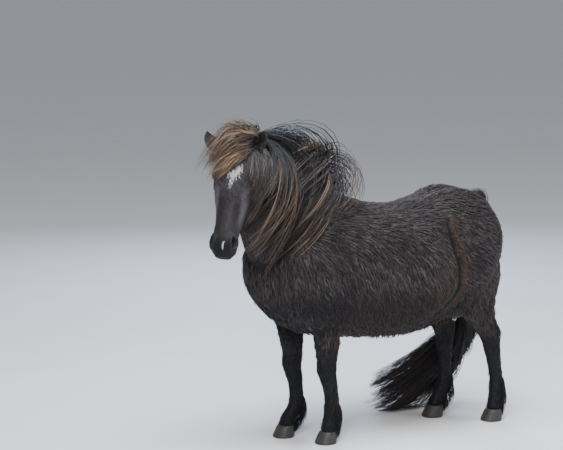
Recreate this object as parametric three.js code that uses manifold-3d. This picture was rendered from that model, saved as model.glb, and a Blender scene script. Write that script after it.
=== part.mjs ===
// A life-size Icelandic horse in its long winter coat, standing still in a steady wind.
// Millimetres: +X runs forward to the head, +Y to the horse's left, +Z up, floor at Z = 0.
// The head is turned to the left. The wind comes from behind and blows mane, forelock and
// tail forward and to the right.
import * as THREE from "three";
import { mergeVertices } from "three/addons/utils/BufferGeometryUtils.js";
import Module from "manifold-3d";

const wasm = await Module();
wasm.setup();

// Driving dimensions
const HEAD_LENGTH = 620;
const HEAD_YAW = THREE.MathUtils.degToRad(51);
const HEAD_SLOPE = THREE.MathUtils.degToRad(27);
const HEAD_TILT = THREE.MathUtils.degToRad(4);
const EAR_LENGTH = 150;
const EYE_RADIUS = 24;
const FOOT_SPREAD = 122;
const COLLAR = 66;
const GAP = 0.3;

// The place of the poll
const POLL = new THREE.Vector3(955, 276, 1735);

// Looks
const COAT = new THREE.MeshStandardMaterial({ color: 0x2c2726, roughness: 0.85 });
const HAIR = new THREE.MeshStandardMaterial({ color: 0x2a2423, roughness: 0.6 });
const HORN = new THREE.MeshStandardMaterial({ color: 0x23211f, roughness: 0.55 });
const EYE = new THREE.MeshStandardMaterial({ color: 0x120c09, roughness: 0.08 });

const UP = new THREE.Vector3(0, 0, 1);
const FORWARD = new THREE.Vector3(1, 0, 0);

const mix = THREE.MathUtils.lerp;
const clamp = THREE.MathUtils.clamp;
const smooth = THREE.MathUtils.smoothstep;

function vec(x, y, z) {
  return new THREE.Vector3(x, y, z);
}

// Repeatable random numbers, so that every run gives the same horse
function seeded(seed) {
  let state = seed;
  return () => {
    state = (state + 0x6d2b79f5) | 0;
    let mixed = Math.imul(state ^ (state >>> 15), 1 | state);
    mixed = (mixed + Math.imul(mixed ^ (mixed >>> 7), 61 | mixed)) ^ mixed;
    return ((mixed ^ (mixed >>> 14)) >>> 0) / 4294967296;
  };
}

// The rows of a table as one smooth track: the result gives every column at t from 0 to 1
function track(rows) {
  const row = (k) => rows[clamp(k, 0, rows.length - 1)];
  return (t) => {
    const place = clamp(t, 0, 1) * (rows.length - 1);
    const first = Math.min(Math.floor(place), rows.length - 2);
    const f = place - first;
    const [a, b, c, d] = [-1, 0, 1, 2].map((k) => row(first + k));
    return b.map((_, k) => {
      const bend = 2 * a[k] - 5 * b[k] + 4 * c[k] - d[k];
      const turn = 3 * (b[k] - c[k]) + d[k] - a[k];
      return b[k] + 0.5 * f * (c[k] - a[k] + f * (bend + f * turn));
    });
  };
}

// The part of `direction` square to `along`, as a unit vector
function square(direction, along) {
  return direction.clone().addScaledVector(along, -along.dot(direction)).normalize();
}

// A point on an egg-shaped section: turn 0 is its left side and a quarter turn its top
function onEgg({ centre, left, up, half, rise, drop, power }, turn, lift = 0) {
  const side = Math.cos(turn);
  const top = Math.sin(turn);
  const across = Math.sign(side) * Math.abs(side) ** (2 / power) * (half + lift);
  const along = Math.sign(top) * Math.abs(top) ** (2 / power);
  const reach = (top > 0 ? rise : drop) + lift;
  return centre.clone().addScaledVector(left, across).addScaledVector(up, along * reach);
}

function eggRing(section, sides, lift = 0) {
  return Array.from({ length: sides }, (_, k) =>
    onEgg(section, (2 * Math.PI * k) / sides, lift),
  );
}

function roundRing(centre, left, up, radius, sides) {
  const size = { half: radius, rise: radius, drop: radius, power: 2 };
  return eggRing({ centre, left, up, ...size }, sides);
}

// One closed solid through a row of rings that have the same number of points
function loft(rings) {
  const sides = rings[0].length;
  const points = rings.flat();
  const faces = [];
  for (let r = 0; r < rings.length - 1; r += 1) {
    for (let k = 0; k < sides; k += 1) {
      const a = r * sides + k;
      const b = r * sides + ((k + 1) % sides);
      faces.push(a, b, b + sides, a, b + sides, a + sides);
    }
  }
  const last = (rings.length - 1) * sides;
  for (let k = 1; k < sides - 1; k += 1) {
    faces.push(0, k + 1, k, last, last + k, last + k + 1);
  }
  const made = new THREE.BufferGeometry().setFromPoints(points);
  made.setIndex(faces);
  return solid(made);
}

// A closed geometry as a solid that can be joined and cut
function solid(geometry) {
  geometry.deleteAttribute("normal");
  geometry.deleteAttribute("uv");
  const merged = mergeVertices(geometry, 1e-3);
  const vertProperties = new Float32Array(merged.attributes.position.array);
  const triVerts = new Uint32Array(merged.index.array);
  const made = new wasm.Manifold(new wasm.Mesh({ numProp: 3, vertProperties, triVerts }));
  if (made.volume() > 0) return made;
  for (let i = 0; i < triVerts.length; i += 3) {
    [triVerts[i + 1], triVerts[i + 2]] = [triVerts[i + 2], triVerts[i + 1]];
  }
  return new wasm.Manifold(new wasm.Mesh({ numProp: 3, vertProperties, triVerts }));
}

function join(solids) {
  return solids.reduce((sum, s) => sum.add(s));
}

function cut(body, tools) {
  return tools.reduce((rest, tool) => rest.subtract(tool), body);
}

// The largest closed body, without loose scraps
function largest(body) {
  return body.decompose().sort((a, b) => b.volume() - a.volume())[0];
}

// An ellipsoid at `centre`, turned by Euler angles in degrees
function swelling(centre, radii, degrees = [0, 0, 0], grow = 0, sides = 12) {
  const ball = new THREE.SphereGeometry(1, sides, Math.round(sides * 0.6));
  const angles = degrees.map(THREE.MathUtils.degToRad);
  const place = new THREE.Matrix4().compose(
    centre,
    new THREE.Quaternion().setFromEuler(new THREE.Euler(...angles)),
    vec(...radii.map((r) => r + grow)),
  );
  return solid(ball.applyMatrix4(place));
}

// A tube along a smooth path whose radius follows `radii`, for lips, lids and grooves
function tube(path, radii, sides, steps) {
  const curve = new THREE.CatmullRomCurve3(path, false, "centripetal");
  const size = track(radii.map((r) => [r]));
  const rings = Array.from({ length: steps + 1 }, (_, k) => {
    const along = curve.getTangent(k / steps);
    const up = square(UP, along);
    const [radius] = size(k / steps);
    return roundRing(curve.getPoint(k / steps), up.clone().cross(along), up, radius, sides);
  });
  return loft(rings);
}

// Trunk

// Along the trunk: forward place, top line, underline, half width, height of the widest point
const TRUNK = [
  [770, 1075, 930, 62, 1000],
  [746, 1135, 850, 136, 975],
  [686, 1210, 752, 204, 955],
  [594, 1295, 668, 248, 930],
  [480, 1365, 618, 274, 912],
  [370, 1396, 592, 288, 900],
  [230, 1378, 570, 314, 892],
  [60, 1326, 552, 342, 884],
  [-110, 1304, 548, 354, 884],
  [-260, 1322, 568, 350, 900],
  [-390, 1356, 625, 322, 945],
  [-510, 1362, 712, 292, 1000],
  [-620, 1326, 796, 262, 1035],
  [-705, 1244, 872, 210, 1055],
  [-752, 1140, 958, 128, 1060],
];
const TRUNK_RINGS = 26;
const TRUNK_SIDES = 24;

// Muscle and hollow on each side: place, height, reach along, reach up, amount outward
const MUSCLES = [
  [540, 1040, 150, 190, 26],
  [430, 800, 110, 120, 30],
  [-440, 1290, 190, 120, 30],
  [-600, 1020, 120, 210, 34],
  [-330, 1110, 80, 170, -20],
  [180, 1230, 120, 120, -14],
];

function trunkSection(t) {
  const [x, top, bottom, half, widest] = track(TRUNK)(t);
  const size = { half, rise: top - widest, drop: widest - bottom, power: 2.15 };
  return { centre: vec(x, 0, widest), along: FORWARD, left: vec(0, 1, 0), up: UP, ...size };
}

function trunk(grow = 0) {
  const rings = Array.from({ length: TRUNK_RINGS }, (_, k) => {
    const section = trunkSection(k / (TRUNK_RINGS - 1));
    return eggRing(section, TRUNK_SIDES, grow).map((p) => {
      const out = vec(0, p.y, 0.7 * (p.z - section.centre.z)).normalize();
      const share = smooth(Math.abs(p.y), 0, 110);
      const bulge = MUSCLES.reduce((sum, [x, z, length, height, amount]) => {
        const far = ((p.x - x) / length) ** 2 + ((p.z - z) / height) ** 2;
        return sum + amount * Math.exp(-far);
      }, 0);
      return p.addScaledVector(out, bulge * share);
    });
  });
  rings[0].forEach((p) => p.setX(p.x + grow));
  rings.at(-1).forEach((p) => p.setX(p.x - grow));
  return loft(rings);
}

// Neck

// Along the neck: centre, reach to the crest, reach to the throat, half width
const NECK = [
  [410, 0, 1100, 296, 320, 212],
  [530, 12, 1215, 300, 310, 200],
  [645, 50, 1330, 296, 285, 174],
  [745, 108, 1430, 264, 240, 148],
  [828, 168, 1505, 222, 195, 127],
  [898, 225, 1563, 180, 160, 112],
];
const NECK_RINGS = 13;
const NECK_SIDES = 22;

function neckSection(t) {
  const [x, y, z, rise, drop, half] = track(NECK)(t);
  const before = vec(...track(NECK)(Math.max(t - 0.02, 0)));
  const after = vec(...track(NECK)(Math.min(t + 0.02, 1)));
  const along = after.sub(before).normalize();
  const up = square(UP, along);
  const left = up.clone().cross(along);
  return { centre: vec(x, y, z), left, up, along, half, rise, drop, power: 2.1 };
}

function neckFlesh(grow = 0) {
  const rings = Array.from({ length: NECK_RINGS }, (_, k) =>
    eggRing(neckSection(k / (NECK_RINGS - 1)), NECK_SIDES, grow),
  );
  return loft(rings);
}

// Head, in its own frame: X down the nose from the poll, Y to its left, Z out of the face

// Down the head: place, face line, jaw line, half width, level of the widest point
const HEAD = [
  [-34, -72, -150, 38, -108],
  [-12, -40, -192, 70, -98],
  [32, -8, -226, 95, -86],
  [90, 6, -252, 108, -78],
  [160, 10, -270, 114, -74],
  [230, 4, -276, 108, -80],
  [300, -2, -256, 93, -84],
  [370, -6, -206, 78, -80],
  [440, -5, -166, 68, -74],
  [500, -2, -148, 66, -70],
  [552, -8, -142, 67, -72],
  [590, -28, -132, 57, -78],
  [612, -54, -114, 34, -84],
];
const HEAD_RINGS = 23;
const HEAD_SIDES = 20;
const EYE_PLACE = vec(180, 97, -56);
const NOSTRIL = vec(552, 62, -36);
const EAR_ROOT = vec(20, 62, -72);

function headFrame() {
  const facing = vec(Math.cos(HEAD_YAW), Math.sin(HEAD_YAW), 0);
  const left = vec(-Math.sin(HEAD_YAW), Math.cos(HEAD_YAW), 0);
  const down = facing.multiplyScalar(Math.sin(HEAD_SLOPE));
  down.addScaledVector(UP, -Math.cos(HEAD_SLOPE));
  const out = down.clone().cross(left);
  const scale = HEAD_LENGTH / (HEAD.at(-1)[0] + 8);
  return new THREE.Matrix4()
    .makeBasis(down, left, out)
    .multiply(new THREE.Matrix4().makeRotationZ(-HEAD_TILT))
    .scale(vec(scale, scale, scale))
    .setPosition(POLL);
}

const HEAD_FRAME = headFrame();
const HEAD_INVERSE = HEAD_FRAME.clone().invert();

function headSection(t) {
  const [x, face, jaw, half, widest] = track(HEAD)(t);
  const size = { half, rise: face - widest, drop: widest - jaw, power: 2.35 };
  return { centre: vec(x, 0, widest), along: FORWARD, left: vec(0, 1, 0), up: UP, ...size };
}

function mirrored(points) {
  return points.map((p) => vec(p.x, -p.y, p.z));
}

// The line of the mouth from one corner round the front to the other
function mouthPath(inset, shift) {
  const half = [
    vec(504, 60 - inset, -110 + shift),
    vec(556, 60 - inset, -103 + shift),
    vec(594, 43 - inset, -97 + shift),
  ];
  return [...half, vec(613 - inset, 0, -92 + shift), ...mirrored(half).reverse()];
}

// The edge of an upper or lower lid, bowed over the eyeball
function lidPath(side, height) {
  return Array.from({ length: 7 }, (_, k) => {
    const turn = Math.PI * (k / 6);
    const out = EYE_PLACE.y + 15 + 6 * Math.sin(turn);
    return vec(
      EYE_PLACE.x - Math.cos(turn) * 26,
      side * out,
      EYE_PLACE.z + Math.sin(turn) * height,
    );
  });
}

// Brow, cheek, nostril, upper lip and chin: place on one side, reach each way, amount outward
const FEATURES = [
  [176, 96, -44, 52, 30, 26, 15],
  [225, 80, -180, 90, 60, 80, 12],
  [552, 58, -44, 30, 22, 26, 13],
  [600, 20, -62, 26, 40, 26, 10],
  [572, 16, -134, 34, 40, 22, 12],
  [395, 60, -20, 70, 30, 26, -6],
];

function headFlesh(grow = 0) {
  const rings = Array.from({ length: HEAD_RINGS }, (_, k) => {
    const section = headSection(k / (HEAD_RINGS - 1));
    return eggRing(section, HEAD_SIDES, grow).map((p) => {
      const out = vec(smooth(p.x, 560, 640), p.y / 90, (p.z - section.centre.z) / 90).normalize();
      const bulge = FEATURES.reduce((sum, [x, y, z, along, across, deep, amount]) => {
        const far =
          ((p.x - x) / along) ** 2 + ((Math.abs(p.y) - y) / across) ** 2 + ((p.z - z) / deep) ** 2;
        return sum + amount * Math.exp(-far);
      }, 0);
      return p.addScaledVector(out, bulge);
    });
  });
  rings[0].forEach((p) => p.setX(p.x - grow));
  rings.at(-1).forEach((p) => p.setX(p.x + grow));
  return loft(rings);
}

function headDetails(flesh) {
  const lids = [1, -1].flatMap((side) => [
    tube(lidPath(side, 15), [2, 6.5, 7.5, 6.5, 2], 4, 6),
    tube(lidPath(side, -13), [2, 4.5, 5.5, 4.5, 2], 4, 6),
  ]);
  const lips = [
    tube(mouthPath(7, 10), [3, 9, 11, 12, 11, 9, 3], 5, 10),
    tube(mouthPath(9, -10), [3, 8, 9, 10, 9, 8, 3], 5, 10),
  ];
  const hollows = [1, -1].flatMap((side) => [
    eyeball(side, GAP),
    swelling(vec(NOSTRIL.x, side * NOSTRIL.y, NOSTRIL.z), [26, 15, 14], [side * 30, 24, side * -28], 0, 10),
  ]);
  const mouth = tube(mouthPath(-3, 0), [2, 5, 5, 5, 5, 5, 2], 4, 12);
  return cut(join([flesh, ...lids, ...lips]), [...hollows, mouth]);
}

function eyeball(side, grow = 0) {
  const radius = EYE_RADIUS;
  const centre = vec(EYE_PLACE.x, side * EYE_PLACE.y, EYE_PLACE.z);
  return swelling(centre, [radius, radius, radius], [90, 0, 0], grow, 12);
}

// Ears

// Along an ear: half width and depth of the leaf at each share of its length
const EAR = [
  [22, 22],
  [29, 26],
  [32, 23],
  [31, 19],
  [23, 14],
  [11, 8],
  [2, 2],
];
const EAR_SIDES = 8;

// The way each ear leans, first from its root and then to its tip
const EAR_LEAN = {
  left: [vec(-0.3, 0.3, 0.2), vec(-0.25, 0.09, 0.28)],
  right: [vec(-0.24, -0.5, 0.02), vec(-0.36, -0.4, 0.02)],
};

// A leaf-shaped cup that leans out to the side and opens forward
function ear(side, grow = 0) {
  const root = vec(EAR_ROOT.x, side * EAR_ROOT.y, EAR_ROOT.z);
  const [first, second] = side > 0 ? EAR_LEAN.left : EAR_LEAN.right;
  const bend = root.clone().addScaledVector(first, EAR_LENGTH);
  const tip = bend.clone().addScaledVector(second, EAR_LENGTH);
  const spine = new THREE.QuadraticBezierCurve3(root, bend, tip);
  const opening = vec(0.1, side * 0.3, 0.95);
  const leaf = (thinner, shift, from, to, steps) => {
    const rings = Array.from({ length: steps + 1 }, (_, k) => {
      const t = mix(from, to, k / steps);
      const [half, deep] = track(EAR)(t);
      const along = spine.getTangent(t);
      const up = square(opening, along);
      const centre = spine.getPoint(t).addScaledVector(up, shift);
      const reach = Math.max(deep - thinner, 0.8);
      const size = { half: Math.max(half - thinner, 0.8), rise: reach, drop: reach, power: 2 };
      return eggRing({ centre, left: up.clone().cross(along), up, ...size }, EAR_SIDES);
    });
    return loft(rings);
  };
  const body = leaf(-grow, 0, 0, 1, 6);
  return grow ? body : body.subtract(leaf(5, 12, 0.26, 0.93, 5));
}

// Legs

// Down a foreleg: place fore and aft, height, reach forward, reach back, half width
const FORELEG = [
  [8, 860, 120, 112, 72],
  [4, 740, 104, 98, 76],
  [0, 640, 84, 84, 66],
  [0, 550, 70, 70, 56],
  [2, 480, 60, 60, 51],
  [6, 425, 60, 56, 53],
  [5, 375, 55, 50, 49],
  [0, 310, 43, 47, 39],
  [-2, 240, 41, 48, 37],
  [0, 192, 46, 55, 44],
  [0, 140, 44, 48, 42],
  [0, 96, 46, 46, 46],
  [0, COLLAR, 50, 48, 50],
];
// The same for a hind leg
const HINDLEG = [
  [70, 1010, 165, 165, 90],
  [62, 900, 162, 152, 96],
  [42, 790, 142, 132, 88],
  [20, 700, 118, 112, 74],
  [-8, 620, 84, 84, 60],
  [-34, 550, 64, 70, 50],
  [-52, 492, 55, 72, 46],
  [-62, 440, 55, 56, 48],
  [-68, 385, 50, 48, 43],
  [-70, 310, 42, 45, 37],
  [-72, 240, 41, 47, 37],
  [-72, 192, 48, 56, 44],
  [-72, 140, 45, 48, 42],
  [-72, 96, 46, 46, 46],
  [-72, COLLAR, 50, 48, 50],
];
const LEG_SIDES = 14;

// Each leg: its table, side, place of its top, slant down to its foot, slope of the pastern
const LEGS = {
  fore_left: { rows: FORELEG, side: 1, top: 392, slant: -70, toe: 26, knee: 372 },
  fore_right: { rows: FORELEG, side: -1, top: 474, slant: -52, toe: 66, knee: 372 },
  hind_left: { rows: HINDLEG, side: 1, top: -590, slant: -92, toe: 22, knee: 440 },
  hind_right: { rows: HINDLEG, side: -1, top: -500, slant: 50, toe: 50, knee: 440 },
};

function legPoint({ rows, side, top, slant, toe }, row) {
  const height = row[1];
  const fallen = (rows[0][1] - height) / rows[0][1];
  const y = mix(150, FOOT_SPREAD, smooth(fallen, 0, 0.5));
  return vec(top + row[0] + slant * fallen + toe * smooth(192 - height, 0, 126), side * y, height);
}

function legSection(leg, t) {
  const row = track(leg.rows)(t);
  const before = legPoint(leg, track(leg.rows)(Math.max(t - 0.02, 0)));
  const after = legPoint(leg, track(leg.rows)(Math.min(t + 0.02, 1)));
  const along = after.sub(before).normalize();
  along.lerp(vec(0, 0, -1), smooth(t, 0.9, 1)).normalize();
  const up = square(FORWARD, along);
  const [, , rise, drop, half] = row;
  const left = up.clone().cross(along);
  return { centre: legPoint(leg, row), along, left, up, half, rise, drop, power: 2.1 };
}

function legFlesh(leg) {
  const count = Math.round(leg.rows.length * 1.6);
  const rings = Array.from({ length: count }, (_, k) =>
    eggRing(legSection(leg, k / (count - 1)), LEG_SIDES),
  );
  return loft(rings);
}

// A hoof: a slanted horn wall from the collar down to its flat sole
function hoof(leg, grow = 0) {
  const { centre } = legSection(leg, 1);
  const ring = (height, shift, rise, drop, half) => {
    const middle = vec(centre.x + shift, centre.y, height);
    const section = { centre: middle, left: vec(0, 1, 0), up: FORWARD, half, rise, drop, power: 2.2 };
    return eggRing(section, LEG_SIDES, grow);
  };
  return loft([
    ring(0 - grow, 16, 64, 52, 62),
    ring(6, 16, 65, 53, 63),
    ring(36, 9, 58, 52, 57),
    ring(COLLAR - 8, 2, 53, 50, 53),
    ring(COLLAR - GAP + grow, 0, 50, 47, 50),
  ]);
}

// Hair

// Moves a point out of a body of egg-shaped sections until it is `lift` clear of its surface
function outOf(section, point, lift) {
  let near = section(0);
  let least = Infinity;
  for (let k = 0; k <= 36; k += 1) {
    const tried = section(k / 36);
    const offset = point.clone().sub(tried.centre);
    const away = Math.abs(offset.dot(tried.along)) + 0.1 * offset.length();
    if (away < least) [least, near] = [away, tried];
  }
  const offset = point.clone().sub(near.centre);
  if (Math.abs(offset.dot(near.along)) > lift + 20) return point;
  const across = offset.dot(near.left);
  const up = offset.dot(near.up);
  const reach = (up > 0 ? near.rise : near.drop) + lift;
  const inside =
    Math.abs(across / (near.half + lift)) ** near.power + Math.abs(up / reach) ** near.power;
  if (inside >= 1) return point;
  const push = inside ** (-1 / near.power) - 1;
  return point.clone().addScaledVector(near.left, across * push).addScaledVector(near.up, up * push);
}

function outOfHorse(point, lift) {
  const local = outOf(headSection, point.clone().applyMatrix4(HEAD_INVERSE), lift);
  const clear = outOf(neckSection, local.applyMatrix4(HEAD_FRAME), lift);
  return outOf(trunkSection, clear, lift + 14);
}

// The path of a strand that leaves `root` along `way` and gives in to the wind as it runs
function strand(root, way, length, yielding, lift, wind, steps = 6) {
  const points = [root];
  const heading = way.clone();
  for (let k = 1; k <= steps; k += 1) {
    heading.lerp(wind, yielding * (0.3 + k / steps)).normalize();
    const next = points.at(-1).clone().addScaledVector(heading, length / steps);
    points.push(outOfHorse(next, lift));
  }
  return points;
}

// One flat, tapered lock along `path`: its ridged side faces `outward` at the root and turns
// with the path from there
function lock(path, width, thick, outward, grow = 0, steps = 5) {
  const curve = new THREE.CatmullRomCurve3(path, false, "centripetal");
  let out = outward;
  const rings = Array.from({ length: steps + 1 }, (_, k) => {
    const t = k / steps;
    const along = curve.getTangent(t);
    out = square(out, along);
    const across = out.clone().cross(along);
    const taper = (0.7 + 0.3 * smooth(t, 0, 0.3)) * (1 - 0.92 * smooth(t, 0.4, 1.02));
    const half = 0.5 * width * taper + 6 * grow;
    const deep = thick * (1 - 0.72 * smooth(t, 0.4, 1)) + 1.5 * grow;
    const end = k === 0 ? -grow : k === steps ? grow : 0;
    const centre = curve.getPoint(t).addScaledVector(along, end);
    return [
      centre.clone().addScaledVector(across, half).addScaledVector(out, -grow),
      centre.clone().addScaledVector(out, deep),
      centre.clone().addScaledVector(across, -half).addScaledVector(out, -grow),
    ];
  });
  return loft(rings);
}

// Mane: the crest carries a thick ridge of bound hair, and locks fall from it over the left side
const MANE_LENGTH = 600;
const MANE_LAYERS = [
  { count: 7, lift: 12, rise: 0, shift: 0.5 },
  { count: 8, lift: 40, rise: 0.5, shift: 0 },
  { count: 8, lift: 70, rise: 1, shift: 0.5 },
];
const MANE_WIDTH = 72;

// Along the crest: how far the bound hair stands up, and its half width
const MANE_CREST = [
  [4, 26],
  [22, 46],
  [52, 60],
  [66, 64],
  [78, 64],
  [84, 58],
  [72, 40],
];

function maneSection(t) {
  const section = neckSection(mix(0.06, 1, t));
  const [stand, half] = track(MANE_CREST)(t);
  const centre = onEgg(section, Math.PI / 2, 0.2 * stand).addScaledVector(section.left, 0.2 * stand);
  return { ...section, centre, half, rise: 0.8 * stand, drop: 0.2 * stand + 60, power: 2.2 };
}

function maneRidge() {
  const rings = Array.from({ length: 11 }, (_, k) => eggRing(maneSection(k / 10), 10));
  return loft(rings);
}

// A strand leaves the crest backwards and to the left, and swings forward with the wind
function manePath(t, lift, rise, length) {
  const section = maneSection(t);
  const { left, up, along } = section;
  const root = onEgg(section, mix(0.1, 1.1, rise), -18);
  const freed = smooth(t, 0, 0.4);
  const back = 0.8 * rise * smooth(t, 0.25, 0.55) * (1 - 0.5 * smooth(t, 0.7, 1));
  const way = left.clone().multiplyScalar(mix(1, 0.6, rise) * mix(0.4, 1, freed));
  way.addScaledVector(up, mix(-0.4, 0, rise)).addScaledVector(along, mix(0.55, 0.1, freed) - back);
  const wind = vec(mix(0.76, 0.92, t), -0.14, mix(-0.66, -0.4, t)).normalize();
  const full = length * mix(0.5, 1, freed) * (1 - 0.25 * smooth(t, 0.75, 1));
  return strand(root, way.normalize(), full, 0.45, lift, wind);
}

function maneLocks() {
  const random = seeded(11);
  const locks = MANE_LAYERS.flatMap(({ count, lift, rise, shift }) =>
    Array.from({ length: count }, (_, k) => {
      const t = mix(0.05, 1, (k + shift + 0.16 * (random() - 0.5)) / (count - 0.5));
      const path = manePath(t, lift, rise, MANE_LENGTH * (0.86 + 0.2 * random()));
      return lock(path, MANE_WIDTH * (0.9 + 0.25 * random()), 11, maneSection(t).up);
    }),
  );
  return join([maneRidge(), ...locks]);
}

// Forelock, in the head's frame: its lowest hair lies close over the brow, its highest springs
// from the poll, and both blow to the right
const FORELOCK_LOW = [
  [44, 44, -46],
  [80, 46, 8],
  [118, 26, 22],
  [150, -8, 20],
  [184, -56, 12],
  [216, -98, -14],
];
const FORELOCK_HIGH = [
  [4, 44, -64],
  [-56, 58, 6],
  [-70, 8, 60],
  [-34, -80, 62],
  [66, -138, 14],
  [176, -160, -22],
];

function forelockPath(share, rise) {
  const low = track(FORELOCK_LOW);
  const high = track(FORELOCK_HIGH);
  return Array.from({ length: 6 }, (_, k) => {
    const across = share * mix(1, 0.45, k / 5);
    const [x, y, z] = low(k / 5).map((value, axis) => mix(value, high(k / 5)[axis], rise));
    const point = vec(x + 24 * across, y - 40 * across, z - 6 * across).applyMatrix4(HEAD_FRAME);
    return k < 2 ? point : outOfHorse(point, 8);
  });
}

function forelockLocks(grow = 0) {
  const random = seeded(29);
  const outward = vec(-0.5, 0, 0.85).transformDirection(HEAD_FRAME);
  return [0, 0.36, 0.7, 1].flatMap((rise) =>
    Array.from({ length: 3 }, (_, k) => {
      const path = forelockPath(mix(-0.7, 1, (k + 0.3 * random()) / 2.3), rise + 0.06 * random());
      return lock(path, 62 * (0.9 + 0.25 * random()), 10, outward, grow);
    }),
  );
}

// Tail: a short dock, with locks that hang behind the quarters and blow forward on the right
const TAIL_PATH = [
  vec(-688, 0, 1232),
  vec(-760, -8, 1185),
  vec(-800, -30, 1040),
  vec(-806, -80, 860),
  vec(-782, -158, 670),
  vec(-718, -232, 490),
  vec(-580, -288, 345),
  vec(-405, -318, 235),
  vec(-215, -330, 160),
];
const TAIL_SPLIT = 668;
const TAIL_SPINE = new THREE.CatmullRomCurve3(TAIL_PATH, false, "centripetal");

// Along the tail: radius of the bound hair in its middle
const TAIL_RADII = [44, 42, 34, 42, 54, 44, 28, 12, 3];
// Where the hair that the wind lifts least hangs below the rest at its tips, no lower than the floor
const TAIL_FALL = vec(-140, 5, -110);
const LOWEST_HAIR = 26;
// Sets of locks: how many, where they leave the middle, where they end, how far out they lie
const TAIL_UPPER = [
  { count: 5, from: 0.1, end: 0.5, spread: 50 },
  { count: 7, from: 0.04, end: 0.49, spread: 76 },
];
const TAIL_LOWER = [
  { count: 5, from: 0.56, end: 1, spread: 40 },
  { count: 7, from: 0.54, end: 0.98, spread: 80 },
  { count: 9, from: 0.53, end: 0.93, spread: 122 },
];

function tailFrame(t) {
  const along = TAIL_SPINE.getTangent(t);
  const up = square(vec(-0.6, 0.1, 1), along);
  return { centre: TAIL_SPINE.getPoint(t), along, left: up.clone().cross(along), up };
}

function tailCore(to) {
  const radius = track(TAIL_RADII.map((value) => [value]));
  const rings = Array.from({ length: 12 }, (_, k) => {
    const { centre, left, up } = tailFrame((to * k) / 11);
    return roundRing(centre, left, up, radius((to * k) / 11)[0], 8);
  });
  return loft(rings);
}

function tailLocks() {
  const random = seeded(37);
  const set = (layers) =>
    layers.flatMap(({ count, from, end, spread }, layer) =>
      Array.from({ length: count }, (_, k) => {
        const turn = (2 * Math.PI * (k + 0.5 * (layer % 2))) / count;
        const first = from + 0.04 * random();
        const last = end - (from > 0.5 ? 0.13 : 0.04) * random();
        const fall = from > 0.5 ? ((k * 5) % count) / (count - 1) : 0;
        const path = [0, 0.12, 0.3, 0.52, 0.76, 1].map((share) => {
          const { centre, left, up } = tailFrame(mix(first, last, share));
          const open = mix(20, spread * mix(0.9, 1.15, random()), smooth(share, 0, 0.5));
          centre.addScaledVector(left, Math.cos(turn) * open * 0.75);
          centre.addScaledVector(up, Math.sin(turn) * open).addScaledVector(TAIL_FALL, fall * share ** 1.4);
          return centre.setZ(Math.max(centre.z, LOWEST_HAIR));
        });
        const { left, up } = tailFrame(0.5 * (first + last));
        const outward = left.multiplyScalar(Math.cos(turn)).addScaledVector(up, Math.sin(turn));
        return lock(path, 56 * (0.85 + 0.35 * random()), 13, outward);
      }),
    );
  return [tailCore(0.93), set(TAIL_UPPER), set(TAIL_LOWER)];
}

// Feather: short locks round the back of a fetlock
function featherLocks(leg, seed) {
  const random = seeded(seed);
  const count = 6;
  return Array.from({ length: count }, (_, k) => {
    const turn = -Math.PI / 2 + mix(-1.2, 1.2, k / (count - 1));
    const section = legSection(leg, 0.8 + 0.02 * (k % 2));
    const root = onEgg(section, turn, -14);
    const out = root.clone().sub(section.centre).setZ(0).normalize();
    const fall = 66 + 24 * random();
    const path = [
      root,
      root.clone().addScaledVector(out, 18).add(vec(0, 0, -12)),
      root.clone().addScaledVector(out, 26).add(vec(0, 0, -12 - 0.5 * fall)),
      root.clone().addScaledVector(out, 30 + 10 * random()).add(vec(0, 0, -12 - fall)),
    ];
    return lock(path, 32, 9, UP, 0, 4);
  });
}

// Assembly

const horse = new THREE.Group();

// The surface of a body as a geometry
function surfaceOf(body) {
  const { numProp, vertProperties, triVerts, numVert } = body.getMesh();
  const points = new Float32Array(numVert * 3);
  for (let i = 0; i < numVert; i += 1) {
    points.set(vertProperties.subarray(i * numProp, i * numProp + 3), i * 3);
  }
  const geometry = new THREE.BufferGeometry();
  geometry.setAttribute("position", new THREE.BufferAttribute(points, 3));
  return geometry.setIndex(new THREE.BufferAttribute(triVerts, 1));
}

// Adds the main body as a named mesh; touching scraps come loose once points that meet are merged
function place(name, body, material) {
  const geometry = surfaceOf(largest(solid(surfaceOf(largest(body)))));
  geometry.computeVertexNormals();
  const mesh = new THREE.Mesh(geometry, material);
  mesh.name = name;
  horse.add(mesh);
}

// Everything between two heights, as a broad slab
function slab(low, high) {
  return solid(new THREE.BoxGeometry(3000, 2000, high - low).translate(0, 0, (low + high) / 2));
}

function inHeadFrame(body) {
  return body.transform(HEAD_FRAME.toArray());
}

const trunkRoom = trunk(GAP);
const headRoom = inHeadFrame(headFlesh(GAP));
const earRooms = [1, -1].map((side) => inHeadFrame(ear(side, GAP)));
const lidRoom = inHeadFrame(swelling(vec(EYE_PLACE.x, EYE_PLACE.y + 14, EYE_PLACE.z), [44, 24, 34]));
const forelockRoom = forelockLocks(GAP);
const headBody = join([inHeadFrame(headDetails(headFlesh())), ...forelockLocks()]);
const neckBody = join([neckFlesh(), maneLocks()]);

place("torso", trunk(), COAT);
place("neck", cut(neckBody, [trunkRoom, headRoom, lidRoom, ...earRooms, ...forelockRoom]), COAT);
place("head", cut(headBody, earRooms), COAT);
place("ear_left", inHeadFrame(ear(1)).subtract(headRoom), COAT);
place("ear_right", inHeadFrame(ear(-1)).subtract(headRoom), COAT);
place("eye_left", inHeadFrame(eyeball(1)), EYE);
place("eye_right", inHeadFrame(eyeball(-1)), EYE);

const [tailMiddle, upperHair, lowerHair] = tailLocks();
const upperTail = join([tailMiddle, ...upperHair]).intersect(slab(TAIL_SPLIT + GAP, 2000));
const lowerTail = join([tailMiddle, ...lowerHair]).intersect(slab(10, TAIL_SPLIT));
place("tail_upper", upperTail.subtract(trunkRoom), HAIR);
place("tail_lower", lowerTail, HAIR);

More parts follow.
